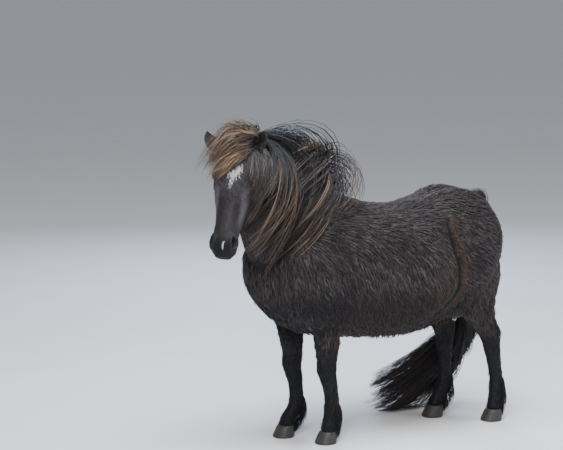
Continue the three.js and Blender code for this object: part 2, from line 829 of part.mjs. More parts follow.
Object.entries(LEGS).forEach(([name, leg], index) => {
  const flesh = legFlesh(leg);
  const upper = flesh.intersect(slab(leg.knee + GAP, 1100)).subtract(trunkRoom);
  const lower = join([flesh.intersect(slab(0, leg.knee)), ...featherLocks(leg, 50 + index)]);
  place(`upper_leg_${name}`, upper, COAT);
  place(`lower_leg_${name}`, cut(lower, [hoof(leg, GAP), slab(-100, 6)]), COAT);
  place(`hoof_${name}`, hoof(leg), HORN);
});

// The origin is on the floor, under the middle of the whole
const bounds = new THREE.Box3().setFromObject(horse);
const middle = bounds.getCenter(vec(0, 0, 0));
horse.position.set(-middle.x, -middle.y, 0);

export default horse;
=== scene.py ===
"""A life-size Icelandic horse in its long winter coat, standing in a steady wind: a still model.

Metres. +X runs forward to the head, +Y to the horse's left, +Z up, and the floor is at Z = 0.
"""

import math
from types import SimpleNamespace

import bpy
import numpy as np
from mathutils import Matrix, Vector
from mathutils.bvhtree import BVHTree


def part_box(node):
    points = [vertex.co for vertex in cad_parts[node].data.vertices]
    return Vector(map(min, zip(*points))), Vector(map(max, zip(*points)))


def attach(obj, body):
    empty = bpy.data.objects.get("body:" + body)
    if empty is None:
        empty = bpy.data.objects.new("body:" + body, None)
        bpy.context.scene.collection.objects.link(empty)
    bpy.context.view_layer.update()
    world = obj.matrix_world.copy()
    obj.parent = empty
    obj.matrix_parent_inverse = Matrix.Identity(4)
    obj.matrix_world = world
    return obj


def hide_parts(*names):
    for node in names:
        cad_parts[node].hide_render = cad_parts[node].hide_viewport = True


bl_info = {
    "name": "Icelandic Horse",
    "version": (1, 0, 0),
    "blender": (4, 5, 0),
    "location": "View3D > Sidebar > Horse",
    "description": "A life-size Icelandic horse in its winter coat, as a still model",
    "category": "Add Mesh",
}

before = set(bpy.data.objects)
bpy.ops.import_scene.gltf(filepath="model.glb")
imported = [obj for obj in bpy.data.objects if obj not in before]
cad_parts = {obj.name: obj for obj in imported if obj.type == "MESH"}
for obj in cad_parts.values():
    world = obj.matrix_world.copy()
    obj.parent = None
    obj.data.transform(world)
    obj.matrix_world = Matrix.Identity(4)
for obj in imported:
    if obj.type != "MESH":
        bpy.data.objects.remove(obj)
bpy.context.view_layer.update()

MM = 0.001
X, Y, Z = np.eye(3)


# Small sums on arrays of points


def unit(v):
    return v / np.maximum(np.linalg.norm(v, axis=-1, keepdims=True), 1e-9)


def mix(a, b, t):
    return a + (b - a) * t


def smooth(x, low, high):
    t = np.clip((x - low) / (high - low), 0.0, 1.0)
    return t * t * (3 - 2 * t)


def dot(a, b):
    return (a * b).sum(-1)


def square(direction, along):
    """The part of each direction square to along, as unit vectors."""
    return unit(direction - along * dot(along, direction)[..., None])


def to_left(points):
    """The same points, all of them on the left side."""
    return np.stack([points[:, 0], np.abs(points[:, 1]), points[:, 2]], 1)


def steady(value):
    """A function that gives one value at every point."""
    return lambda points: np.full(len(points), value)


def track(rows, scale=1.0):
    """The rows of a table as one smooth track, which gives every column at t from 0 to 1."""
    rows = np.array(rows, float) * scale

    def at(t):
        t = np.clip(np.asarray(t, float), 0, 1) * (len(rows) - 1)
        first = np.minimum(t.astype(int), len(rows) - 2)
        f = (t - first)[..., None]
        a, b, c, d = (rows[np.clip(first + k, 0, len(rows) - 1)] for k in (-1, 0, 1, 2))
        return b + 0.5 * f * (c - a + f * (2 * a - 5 * b + 4 * c - d + f * (3 * (b - c) + d - a)))

    return at


def egg(form, turn, lift=0.0):
    """Points on egg-shaped sections: turn 0 is the left side and a quarter turn the top."""
    side, top = np.cos(turn), np.sin(turn)
    across = np.sign(side) * np.abs(side) ** (2 / form.power) * (form.half + lift)
    reach = np.where(top > 0, form.rise, form.drop) + lift
    height = np.sign(top) * np.abs(top) ** (2 / form.power) * reach
    return form.centre + form.left * across[:, None] + form.up * height[:, None]


def near_path(points, path):
    """How far each point is from a smooth path through a few points, and where along it."""
    s = np.linspace(0, 1, 80)
    line = track(path)(s)
    away = np.linalg.norm(points[:, None, :] - line[None], axis=2)
    nearest = away.argmin(1)
    return away[np.arange(len(points)), nearest], s[nearest], points - line[nearest]


# The trunk: forward place, top line, underline, half width, height of the widest point

TRUNK = track(
    [
        [770, 1075, 930, 62, 1000],
        [746, 1135, 850, 136, 975],
        [686, 1210, 752, 204, 955],
        [594, 1295, 668, 248, 930],
        [480, 1365, 618, 274, 912],
        [370, 1396, 592, 288, 900],
        [230, 1378, 570, 314, 892],
        [60, 1326, 552, 342, 884],
        [-110, 1304, 548, 354, 884],
        [-260, 1322, 568, 350, 900],
        [-390, 1356, 615, 322, 945],
        [-510, 1362, 604, 292, 1000],
        [-620, 1326, 690, 262, 1035],
        [-705, 1244, 872, 210, 1055],
        [-752, 1140, 958, 128, 1060],
    ],
    MM,
)
# Muscle and hollow on each side: place, height, reach along, reach up, amount outward
MUSCLES = [
    [540, 1040, 140, 190, 34],
    [430, 800, 100, 120, 36],
    [330, 820, 45, 110, -16],
    [-440, 1290, 190, 120, 30],
    [-600, 1020, 120, 210, 34],
    [-330, 1110, 80, 170, -20],
    [180, 1230, 120, 120, -14],
    [-255, 900, 110, 190, 12],
    [330, 1040, 55, 170, -20],
    [668, 1090, 40, 130, -14],
    [30, 1080, 200, 90, 6],
]
# The deep fold of the flank, down the left side; the right side mirrors it
FLANK_FOLD = [
    [-0.335, 0.262, 1.215],
    [-0.352, 0.285, 1.14],
    [-0.372, 0.305, 1.06],
    [-0.392, 0.318, 0.98],
    [-0.4, 0.318, 0.9],
    [-0.385, 0.306, 0.82],
    [-0.33, 0.3, 0.755],
    [-0.24, 0.288, 0.7],
]
FOLD_SIDE_ON = np.array(FLANK_FOLD) * [1, 0, 1]


def trunk_form(t):
    x, top, bottom, half, widest = TRUNK(t).T
    ones = np.ones_like(x)[:, None]
    return SimpleNamespace(
        centre=np.stack([x, 0 * x, widest], 1),
        along=X * ones,
        left=Y * ones,
        up=Z * ones,
        half=half,
        rise=top - widest,
        drop=widest - bottom,
        power=2.15,
    )


def trunk_point(t, turn, lift=0.0):
    form = trunk_form(t)
    p = egg(form, turn, lift)
    out = unit(np.stack([0 * p[:, 0], p[:, 1], 0.7 * (p[:, 2] - form.centre[:, 2])], 1))
    bulge = np.zeros(len(p))
    for x, z, length, height, amount in np.array(MUSCLES) * MM:
        bulge += amount * np.exp(-(((p[:, 0] - x) / length) ** 2) - ((p[:, 2] - z) / height) ** 2)
    bulge *= smooth(np.abs(p[:, 1]), 0, 0.11)
    mirrored = to_left(p)
    away, share, _ = near_path(mirrored, FLANK_FOLD)
    depth = 0.062 * np.sin(np.pi * np.clip(share * 0.9 + 0.08, 0, 1)) ** 0.7
    bulge -= depth * np.exp(-((away / 0.026) ** 2)) * smooth(mirrored[:, 1], 0.1, 0.2)
    furrow = 0.012 * np.exp(-((p[:, 1] / 0.05) ** 2)) * smooth(-p[:, 0], 0.2, 0.4)
    p += out * bulge[:, None]
    p[:, 2] -= furrow * smooth(p[:, 2], 1.1, 1.2)
    return p


# The neck: centre, reach to the crest, reach to the throat, half width

NECK = track(
    [
        [410, 0, 1100, 296, 320, 212],
        [530, 12, 1215, 300, 310, 200],
        [645, 50, 1330, 296, 285, 174],
        [745, 108, 1430, 264, 240, 148],
        [828, 168, 1505, 222, 195, 127],
        [898, 225, 1563, 180, 160, 112],
    ],
    MM,
)


def neck_form(t):
    rows = NECK(t)
    along = unit(NECK(np.minimum(t + 0.02, 1))[:, :3] - NECK(np.maximum(t - 0.02, 0))[:, :3])
    up = square(Z * np.ones_like(along), along)
    return SimpleNamespace(
        centre=rows[:, :3],
        along=along,
        left=np.cross(up, along),
        up=up,
        half=rows[:, 5],
        rise=rows[:, 3],
        drop=rows[:, 4],
        power=2.1,
    )


def neck_point(t, turn, lift=0.0):
    return egg(neck_form(t), turn, lift)


# The head, in its own frame: X down the nose from the poll, Y to its left, Z out of the face

POLL = np.array([955, 276, 1735]) * MM
HEAD_YAW, HEAD_SLOPE, HEAD_TILT = (math.radians(a) for a in (51, 27, 4))
# Down the head: place, face line, jaw line, half width, level of the widest point
HEAD = track(
    [
        [-34, -72, -150, 38, -108],
        [-12, -40, -192, 70, -98],
        [32, -8, -226, 95, -86],
        [90, 6, -252, 108, -78],
        [160, 10, -270, 114, -74],
        [230, 4, -276, 108, -80],
        [300, -2, -256, 93, -84],
        [370, -6, -206, 78, -80],
        [440, -5, -166, 68, -74],
        [500, -2, -148, 66, -70],
        [552, -8, -142, 67, -72],
        [586, -24, -134, 61, -78],
        [608, -50, -118, 44, -84],
    ],
    MM,
)
# Brow, cheek, nostril, lips, chin, and the face's ridges: place, reach each way, amount outward
FEATURES = [
    [176, 96, -44, 52, 30, 26, 15],
    [225, 80, -180, 90, 60, 80, 12],
    [552, 58, -44, 30, 22, 26, 13],
    [600, 20, -62, 26, 40, 26, 10],
    [572, 16, -134, 34, 40, 22, 12],
    [395, 60, -20, 70, 30, 26, -6],
    [290, 88, -70, 110, 14, 14, 4],
    [215, 106, -66, 26, 20, 16, -5],
    [120, 70, 0, 34, 26, 30, -4],
]
EYE_PLACE = np.array([180, 97, -56]) * MM
NOSTRIL = np.array([552, 62, -36]) * MM
EYE_RADIUS = 0.024


def head_axes():
    facing = np.array([math.cos(HEAD_YAW), math.sin(HEAD_YAW), 0])
    left = np.array([-math.sin(HEAD_YAW), math.cos(HEAD_YAW), 0])
    down = facing * math.sin(HEAD_SLOPE) - Z * math.cos(HEAD_SLOPE)
    turn = np.array(
        [
            [math.cos(HEAD_TILT), math.sin(HEAD_TILT), 0],
            [-math.sin(HEAD_TILT), math.cos(HEAD_TILT), 0],
            [0, 0, 1],
        ]
    )
    return np.stack([down, left, np.cross(down, left)], 1) @ turn


HEAD_AXES = head_axes()


def from_head(points):
    return points @ HEAD_AXES.T + POLL


def to_head(points):
    return (points - POLL) @ HEAD_AXES


def head_form(t):
    x, face, jaw, half, widest = HEAD(t).T
    ones = np.ones_like(x)[:, None]
    return SimpleNamespace(
        centre=np.stack([x, 0 * x, widest], 1),
        along=X * ones,
        left=Y * ones,
        up=Z * ones,
        half=half,
        rise=face - widest,
        drop=widest - jaw,
        power=2.35,
    )


def mouth_line(inset=0.0):
    half = np.array([[504, 60, -110], [556, 60, -103], [594, 43, -97]]) * MM
    half[:, 1] -= inset
    front = np.array([[613 * MM - inset, 0, -0.092]])
    return np.concatenate([half, front, half[::-1] * [1, -1, 1]])


def nostril_reach(p):
    """1 on the rim of a nostril, less inside it and more outside."""
    q = p - NOSTRIL
    along = unit(np.array([0.86, -0.3, -0.42]))
    across = unit(np.cross(along, [0.1, 0.9, 0.45]))
    u, v = q @ along, q @ across
    return np.sqrt((u / 0.028) ** 2 + ((v - 5.0 * u * u) / 0.0165) ** 2)


def head_local(t, turn, lift=0.0, fine=True):
    form = head_form(t)
    p = egg(form, turn, lift)
    out = np.stack([smooth(p[:, 0], 0.56, 0.64), p[:, 1] / 0.09, (p[:, 2] - form.centre[:, 2]) / 0.09], 1)
    out = unit(out)
    folded = to_left(p)
    bulge = np.zeros(len(p))
    for x, y, z, length, width, deep, amount in np.array(FEATURES) * MM:
        far = ((p[:, 0] - x) / length) ** 2 + ((folded[:, 1] - y) / width) ** 2 + ((p[:, 2] - z) / deep) ** 2
        bulge += amount * np.exp(-far)
    if fine:
        side = smooth(folded[:, 1], 0.05, 0.08)
        socket = ((p[:, 0] - EYE_PLACE[0]) / 0.03) ** 2 + ((p[:, 2] - EYE_PLACE[2]) / 0.02) ** 2
        bulge -= 0.014 * np.exp(-(socket**1.5)) * side
        hollow = nostril_reach(folded)
        bulge += 0.006 * np.exp(-(((hollow - 1.3) / 0.35) ** 2)) - 0.024 * (1 - smooth(hollow, 0.6, 1.1))
        away, share, gap = near_path(p, mouth_line())
        ends = smooth(share, 0, 0.08) * smooth(1 - share, 0, 0.08)
        bulge -= ends * 0.008 * np.exp(-((away / 0.0035) ** 2))
        lip = np.exp(-(((away - 0.011) / 0.007) ** 2))
        bulge += ends * lip * np.where(gap[:, 2] > 0, 0.003, 0.0035)
        on_lips = smooth(p[:, 0], 0.5, 0.53) * smooth(-p[:, 0], -0.6, -0.57)
        on_lips *= smooth(folded[:, 1], 0.03, 0.05)
        bulge += 0.0005 * np.sin(p[:, 0] / 0.0042 + 40 * folded[:, 1]) * on_lips
    return p + out * bulge[:, None]


def head_point(t, turn, lift=0.0):
    return from_head(head_local(t, turn, lift))


# The ears: half width and depth of the leaf at each share of its length

EAR = track([[24, 22], [30, 26], [34, 23], [34, 19], [29, 15], [19, 10], [3, 3]], MM)
EAR_ROOT = {1: np.array([22, 68, -72]) * MM, -1: np.array([26, -90, -72]) * MM}
EAR_LENGTH = 0.15
EAR_WALL = 0.0045
EARS = ("ear_left", "ear_right")
EAR_LEAN = {
    1: np.array([[-0.3, 0.3, 0.2], [-0.25, 0.09, 0.28]]),
    -1: np.array([[-0.04, -0.6, -0.02], [-0.5, -0.1, 0.1]]),
}


def ear_form(side, t):
    root = EAR_ROOT[side]
    bend = root + EAR_LEAN[side][0] * EAR_LENGTH
    tip = bend + EAR_LEAN[side][1] * EAR_LENGTH
    s = t[:, None]
    centre = (1 - s) ** 2 * root + 2 * s * (1 - s) * bend + s * s * tip
    along = unit((1 - s) * (bend - root) + s * (tip - bend))
    up = square(np.array([0.2, 0.12 + 0.06 * side, 0.95]) * np.ones_like(along), along)
    half, deep = EAR(t).T
    return SimpleNamespace(centre=centre, along=along, up=up, left=np.cross(up, along), half=half, deep=deep)


def ear_point(side):
    def point(t, turn, lift=0.0):
        form = ear_form(side, t)
        across = np.cos(turn) * (form.half + lift)
        shut = np.sin(turn) * (form.deep + lift)
        inside = -np.sin(turn) * np.maximum(form.deep + lift - EAR_WALL, 0.0005)
        cup = np.where(turn % (2 * np.pi) < np.pi, inside, shut)
        height = mix(shut, cup, smooth(t, 0.1, 0.34))
        height += 0.35 * form.half * np.abs(np.cos(turn)) ** 4 * smooth(t, 0.1, 0.5)
        return from_head(form.centre + form.left * across[:, None] + form.up * height[:, None])

    return point


# The legs: place fore and aft, height, reach forward, reach back, half width

COLLAR = 66
FORELEG = [
    [8, 860, 120, 112, 72],
    [4, 740, 104, 98, 76],
    [0, 640, 84, 84, 66],
    [0, 550, 70, 70, 56],
    [2, 480, 60, 60, 51],
    [6, 425, 60, 56, 53],
    [5, 375, 55, 50, 49],
    [0, 310, 43, 47, 39],
    [-2, 240, 41, 48, 37],
    [0, 192, 46, 55, 44],
    [0, 140, 44, 48, 42],
    [0, 96, 46, 46, 46],
    [0, COLLAR, 50, 48, 50],
]
HINDLEG = [
    [70, 1010, 165, 180, 90],
    [62, 900, 162, 192, 96],
    [42, 790, 142, 168, 88],
    [20, 700, 118, 124, 74],
    [-8, 620, 84, 84, 60],
    [-34, 550, 64, 70, 50],
    [-52, 492, 55, 72, 46],
    [-62, 440, 55, 56, 48],
    [-68, 385, 50, 48, 43],
    [-70, 310, 42, 45, 37],
    [-72, 240, 41, 47, 37],
    [-72, 192, 48, 56, 44],
    [-72, 140, 45, 48, 42],
    [-72, 96, 46, 46, 46],
    [-72, COLLAR, 50, 48, 50],
]
# Each leg: its table, side, place of its top, slant down to its foot, slope of the pastern
LEGS = {
    "fore_left": (FORELEG, 1, 0.392, -0.070, 0.026),
    "fore_right": (FORELEG, -1, 0.474, -0.052, 0.066),
    "hind_left": (HINDLEG, 1, -0.590, -0.092, 0.022),
    "hind_right": (HINDLEG, -1, -0.500, 0.050, 0.050),
}
FOOT_SPREAD = 0.122


def leg_axis(leg, rows):
    table, side, top, slant, toe = LEGS[leg]
    high = table[0][1] * MM
    fallen = (high - rows[:, 1]) / high
    y = mix(0.15, FOOT_SPREAD, smooth(fallen, 0, 0.5))
    x = top + rows[:, 0] + slant * fallen + toe * smooth(0.192 - rows[:, 1], 0, 0.126)
    return np.stack([x, side * y, rows[:, 1]], 1)


def leg_form(leg, t):
    table = track(LEGS[leg][0], MM)
    rows = table(t)
    below, above = (leg_axis(leg, table(np.clip(t + step, 0, 1))) for step in (0.02, -0.02))
    along = unit(below - above)
    along = unit(mix(along, -Z, smooth(t, 0.9, 1)[:, None]))
    up = square(X * np.ones_like(along), along)
    return SimpleNamespace(
        centre=leg_axis(leg, rows),
        along=along,
        left=np.cross(up, along),
        up=up,
        half=rows[:, 4],
        rise=rows[:, 2],
        drop=rows[:, 3],
        power=2.1,
    )


def leg_point(leg):
    hind = leg.startswith("hind")

    def point(t, turn, lift=0.0):
        form = leg_form(leg, t)
        p = egg(form, turn, lift)
        high = form.centre[:, 2]
        out = unit(p - form.centre)
        back = np.maximum(-np.sin(turn), 0)
        tendon = 0.004 * back**3 * smooth(high, 0.2, 0.26) * smooth(-high, -0.4, -0.33)
        groove = -0.005 * np.exp(-(((np.abs(np.cos(turn)) - 0.9) / 0.1) ** 2)) * back**0.5
        groove *= smooth(high, 0.2, 0.25) * smooth(-high, -0.38, -0.32)
        point_of_hock = 0.008 * back**4 * np.exp(-(((high - 0.515) / 0.03) ** 2)) * hind
        cap = 0.004 * np.maximum(np.sin(turn), 0) ** 2 * np.exp(-(((high - 0.42) / 0.03) ** 2)) * (not hind)
        return p + out * (tendon + groove + point_of_hock + cap)[:, None]

    return point


# The design's own frame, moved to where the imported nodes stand


def design_shift():
    low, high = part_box("torso")
    return np.array([low.x + 0.752, (low.y + high.y) / 2, 0.0])


SHIFT = design_shift()

# How deep the coat lies on each part
COAT_DEPTH = {"trunk": 0.016, "neck": 0.014, "head": 0.003, "leg": 0.005, "ear": 0.0015}


def coat_depth(part):
    if part in LEGS:
        return COAT_DEPTH["leg"]
    return COAT_DEPTH["ear" if part in EARS else part]


# What the user may change


class HorseSizes(bpy.types.PropertyGroup):
    """Sizes of the coat and the long hair."""

    coat_length: bpy.props.FloatProperty(
        name="Coat length",
        description="Length of a tuft on the barrel",
        default=0.058,
        min=0.01,
        max=0.1,
        unit="LENGTH",
    )
    coat_tufts: bpy.props.IntProperty(
        name="Coat tufts",
        description="How many tufts the trunk carries",
        default=38000,
        min=1000,
        max=60000,
    )
    mane_length: bpy.props.FloatProperty(
        name="Mane length",
        description="Length of the longest mane hair",
        default=0.62,
        min=0.1,
        max=0.9,
        unit="LENGTH",
    )
    hair_width: bpy.props.FloatProperty(
        name="Hair width",
        description="Width of one strand of long hair",
        default=0.0042,
        min=0.001,
        max=0.02,
        unit="LENGTH",
    )


class HorseColours(bpy.types.PropertyGroup):
    """Colours of coat, hair, horn and eye."""

    coat: bpy.props.FloatVectorProperty(
        name="Coat",
        description="The coat near the skin",
        subtype="COLOR",
        default=(0.0095, 0.0076, 0.0075),
        min=0,
        max=1,
    )
    coat_tip: bpy.props.FloatVectorProperty(
        name="Coat tips",
        description="The weathered ends of the coat",
        subtype="COLOR",
        default=(0.122, 0.095, 0.09),
        min=0,
        max=1,
    )
    mane: bpy.props.FloatVectorProperty(
        name="Mane",
        description="Mane and tail hair",
        subtype="COLOR",
        default=(0.0075, 0.006, 0.006),
        min=0,
        max=1,
    )
    bleached: bpy.props.FloatVectorProperty(
        name="Bleached hair",
        description="Hair bleached by sun and wind",
        subtype="COLOR",
        default=(0.38, 0.25, 0.15),
        min=0,
        max=1,
    )
    horn: bpy.props.FloatVectorProperty(
        name="Hoof horn",
        description="The hoof wall",
        subtype="COLOR",
        default=(0.012, 0.01, 0.0095),
        min=0,
        max=1,
    )
    iris: bpy.props.FloatVectorProperty(
        name="Iris",
        description="The iris of the eye",
        subtype="COLOR",
        default=(0.045, 0.018, 0.008),
        min=0,
        max=1,
    )


def sizes():
    return bpy.context.scene.horse_sizes


def colours():
    return bpy.context.scene.horse_colours


# Shader maths


class Value:
    """A socket that takes part in sums: each sum adds the Math node that works it out."""

    def __init__(self, finish, socket):
        self.finish, self.socket = finish, socket

    def _math(self, operation, a, b):
        return self.finish.node("ShaderNodeMath", {"operation": operation}, {0: a, 1: b})

    def __add__(self, other):
        return self._math("ADD", self, other)

    def __sub__(self, other):
        return self._math("SUBTRACT", self, other)

    def __rsub__(self, other):
        return self._math("SUBTRACT", other, self)

    def __mul__(self, other):
        return self._math("MULTIPLY", self, other)

    __radd__ = __add__
    __rmul__ = __mul__


class Finish:
    """A material under construction."""

    def __init__(self, name):
        self.material = bpy.data.materials.new(name)
        self.material.use_nodes = True
        self.tree = self.material.node_tree
        self.tree.nodes.clear()

    def node(self, kind, settings=None, inputs=None, output=0):
        """Any node: its settings first, then its sockets' values or links."""
        node = self.tree.nodes.new(kind)
        for key, value in (settings or {}).items():
            setattr(node, key, value)
        for key, value in (inputs or {}).items():
            if isinstance(value, Value):
                self.tree.links.new(value.socket, node.inputs[key])
            else:
                node.inputs[key].default_value = value
        return Value(self, node.outputs[output]) if node.outputs else None

    def attribute(self, name):
        return self.node("ShaderNodeAttribute", {"attribute_name": name}, output="Fac")

    def place(self, scale=(1, 1, 1)):
        """Object coordinates, stretched for a pattern."""
        where = self.node("ShaderNodeTexCoord", output="Object")
        return self.node("ShaderNodeMapping", None, {"Vector": where, "Scale": scale})

    def noise(self, scale, detail=3.0, rough=0.55, vector=None):
        inputs = {"Scale": scale, "Detail": detail, "Roughness": rough, "Vector": vector or self.place()}
        return self.node("ShaderNodeTexNoise", None, inputs)

    def between(self, value, low, high, to_low=0.0, to_high=1.0):
        limits = {"Value": value, "From Min": low, "From Max": high, "To Min": to_low, "To Max": to_high}
        return self.node("ShaderNodeMapRange", {"interpolation_type": "SMOOTHSTEP"}, limits)

    def blend(self, factor, first, second, how="MIX"):
        first, second = (c if isinstance(c, Value) else (*tuple(c)[:3], 1.0) for c in (first, second))
        settings = {"data_type": "RGBA", "blend_type": how}
        return self.node("ShaderNodeMix", settings, {0: factor, 6: first, 7: second}, output=2)

    def bump(self, height, strength, distance):
        inputs = {"Height": height, "Strength": strength, "Distance": distance}
        return self.node("ShaderNodeBump", None, inputs)

    def surface(self, **inputs):
        named = {key.replace("_", " "): value for key, value in inputs.items()}
        shader = self.node("ShaderNodeBsdfPrincipled", None, named)
        self.node("ShaderNodeOutputMaterial", None, {"Surface": shader})
        return self.material


# Colours that don't change with the user's: linear red, green and blue
BROWN_HAIR = (0.12, 0.056, 0.03)
# Smoky grey hair, and the same grey as painted light
SMOKY_HAIR_AND_LIGHT = (0.05, 0.044, 0.05)
# Dark hair, and the same colour as painted shade
DARK_HAIR_AND_SHADE = (0.0042, 0.0042, 0.0055)
WHITE_HAIR = (0.62, 0.6, 0.6)
SKY_SHEEN = (0.72, 0.8, 1.0, 1.0)


def coat_finish():
    """The coat on skin and tufts alike: share runs from root to tip, tint differs between tufts."""
    f = Finish("winter_coat")
    share, tint = f.attribute("share"), f.attribute("tint")
    patch = f.noise(5.5, 3.0)
    fine = f.noise(160.0, 2.0, vector=f.place((1, 1, 0.35)))
    # Darker towards the roots, partly the coat's own dark base and partly painted shade between the tufts;
    # tint also carries painted shade on the low barrel
    weathered = f.between(share * 0.5 + tint * 0.95 + patch * 0.3 - 0.66, 0.0, 1.0)
    base = f.blend(weathered, colours().coat, colours().coat_tip)
    base = f.blend(f.attribute("brown") * f.between(share, 0.0, 0.8, 0.55, 1.0), base, BROWN_HAIR)
    # Smoky grey hair on the brow, round the nostrils and on the ears' rims, and the same grey as painted
    # light on the lit cheek and on the bulge in front of the flank
    base = f.blend(f.attribute("smoky_and_light"), base, SMOKY_HAIR_AND_LIGHT)
    # Dark hair on the legs, muzzle and nose, and the same dark as painted shade in the flank's crease, on the
    # low barrel, behind the elbow, deep in the ear cups and on the mane's bound hair under its locks
    base = f.blend(f.attribute("dark") * 0.88, base, DARK_HAIR_AND_SHADE)
    base = f.blend(f.attribute("white"), base, WHITE_HAIR)
    base = f.blend(0.5, base, f.between(fine, 0.25, 0.75, 0.55, 1.0), "MULTIPLY")
    normal = f.bump(fine, 0.35, 0.002)
    return f.surface(
        Base_Color=base,
        Roughness=f.between(fine, 0.2, 0.8, 0.48, 0.68),
        Specular_IOR_Level=0.22,
        Sheen_Weight=0.05,
        Sheen_Roughness=0.4,
        Sheen_Tint=SKY_SHEEN,
        Normal=normal,
    )


def hair_finish():
    """Mane, forelock and tail: dark hair with bleached strands."""
    f = Finish("long_hair")
    share, tint, bleach = f.attribute("share"), f.attribute("tint"), f.attribute("bleach")
    # Lighter strands turn bluish towards the roots, a painted sky sheen on the hair's upper part, and warm
    # brown towards the tips
    pale = f.blend(f.between(share, 0.2, 0.7), (0.05, 0.052, 0.068), (0.055, 0.043, 0.042))
    base = f.blend(f.between(tint, 0.25, 1.0) * 0.75, colours().mane, pale)
    golden = f.between(bleach * f.between(share, 0.05, 0.7, 0.12, 1.0), 0.12, 0.95)
    base = f.blend(golden, base, colours().bleached)
    return f.surface(
        Base_Color=base,
        Roughness=f.between(tint, 0.0, 1.0, 0.42, 0.58),
        Specular_IOR_Level=0.36,
        Anisotropic=0.4,
        Sheen_Weight=0.06,
        Sheen_Tint=SKY_SHEEN,
    )


def horn_finish():
    """Hoof horn: growth rings round the wall and fine lines down it."""
    f = Finish("hoof_horn")
    rings = f.noise(60.0, 2.0, vector=f.place((0.12, 0.12, 2.6)))
    lines = f.noise(190.0, 2.0, vector=f.place((1, 1, 0.06)))
    dirt = f.noise(26.0, 4.0, 0.6)
    base = f.blend(rings * 0.75, colours().horn, (0.05, 0.042, 0.036))
    base = f.blend(f.between(dirt, 0.52, 0.72) * 0.6, base, (0.06, 0.048, 0.038))
    return f.surface(
        Base_Color=base,
        Roughness=f.between(dirt, 0.3, 0.7, 0.42, 0.72),
        Normal=f.bump(rings * 0.7 + lines * 0.3, 0.4, 0.0015),
    )


def eye_finish():
    """Dark brown iris round a wide pupil, under a wet cornea."""
    f = Finish("wet_eye")
    iris, pupil = f.attribute("iris"), f.attribute("pupil")
    streaks = f.noise(420.0, 3.0)
    base = f.blend(streaks, colours().iris, (0.012, 0.006, 0.004))
    base = f.blend(f.between(iris, 0.86, 1.02), base, (0.05, 0.04, 0.038))
    base = f.blend(f.between(pupil, 1.12, 0.92), base, (0.002, 0.002, 0.003))
    return f.surface(
        Base_Color=base,
        Roughness=0.07,
        Specular_IOR_Level=0.6,
        Coat_Weight=1.0,
        Coat_Roughness=0.03,
    )


def floor_finish():
    f = Finish("studio_floor")
    grain = f.noise(3.0, 2.0)
    return f.surface(Base_Color=f.blend(grain, (0.62, 0.61, 0.6), (0.66, 0.65, 0.64)), Roughness=0.8)


MAKERS = {
    "coat": coat_finish,
    "hair": hair_finish,
    "horn": horn_finish,
    "eye": eye_finish,
    "floor": floor_finish,
}
FINISHES = {}


def finish_of(name):
    """The material of that name, made once."""
    if name not in FINISHES:
        FINISHES[name] = MAKERS[name]()
    return FINISHES[name]


# Meshes


def deselect():
    bpy.ops.object.select_all(action="DESELECT")


def points_of(mesh):
    co = np.empty(len(mesh.vertices) * 3, np.float32)
    mesh.vertices.foreach_get("co", co)
    return co.reshape(-1, 3).astype(float)


def set_points(mesh, points):
    mesh.vertices.foreach_set("co", np.ascontiguousarray(points, np.float32).ravel())
    mesh.update()


def set_value(mesh, name, values):
    layer = mesh.attributes.get(name) or mesh.attributes.new(name, "FLOAT", "POINT")
    layer.data.foreach_set("value", np.ascontiguousarray(values, np.float32))


def closed_over(point, first, last, share=0.05):
    """A form with rounded ends: first and last are how far each end bulges, share the length it takes."""
    rim_turns = np.linspace(0, 2 * np.pi, 48, endpoint=False)

    def whole(t, turn, lift=0.0):
        p = point(np.clip((t - share) / (1 - 2 * share), 0, 1), turn, lift)
        for bulge, at, beyond in ((first, 0.0, (share - t) / share), (last, 1.0, (t - 1 + share) / share)):
            rim = point(np.full(48, at), rim_turns, lift)
            inner = point(np.full(48, abs(at - 0.03)), rim_turns, lift)
            centre, way = rim.mean(0), unit(rim.mean(0) - inner.mean(0))
            phase = np.clip(beyond, 0, 1)[:, None] * np.pi / 2
            rounded = centre + (p - centre) * np.cos(phase) + way * (bulge + lift) * np.sin(phase)
            p = np.where(beyond[:, None] > 0, rounded, p)
        return p

    return whole


def laid_ball(name, segments, rings, point):
    """A ball whose rings lie along a form."""
    deselect()
    bpy.ops.mesh.primitive_uv_sphere_add(segments=segments, ring_count=rings, radius=1)
    piece = bpy.context.object
    piece.name = piece.data.name = name
    co = points_of(piece.data)
    ring = np.rint(np.arccos(np.clip(co[:, 2], -1, 1)) / np.pi * rings)
    turn = np.arctan2(co[:, 1], co[:, 0]) % (2 * np.pi)
    set_points(piece.data, point(ring / rings, turn) + SHIFT)
    bpy.ops.object.mode_set(mode="EDIT")
    bpy.ops.mesh.select_all(action="SELECT")
    bpy.ops.mesh.normals_make_consistent(inside=False)
    bpy.ops.object.mode_set(mode="OBJECT")
    bpy.ops.object.shade_smooth()
    return piece


def joined(pieces, name):
    deselect()
    for piece in pieces:
        piece.select_set(True)
    bpy.context.view_layer.objects.active = pieces[0]
    bpy.ops.object.join()
    pieces[0].name = pieces[0].data.name = name
    return pieces[0]


def applied(piece, kind, **settings):
    """Adds a modifier to a piece and applies it."""
    deselect()
    piece.select_set(True)
    bpy.context.view_layer.objects.active = piece
    bpy.ops.object.modifier_add(type=kind)
    modifier = piece.modifiers[-1]
    for key, value in settings.items():
        setattr(modifier, key, value)
    bpy.ops.object.modifier_apply(modifier=modifier.name)


def dressed(piece, finish, replaces=()):
    piece.data.materials.clear()
    piece.data.materials.append(finish_of(finish))
    if replaces:
        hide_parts(*replaces)
    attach(piece, "root")
    return piece


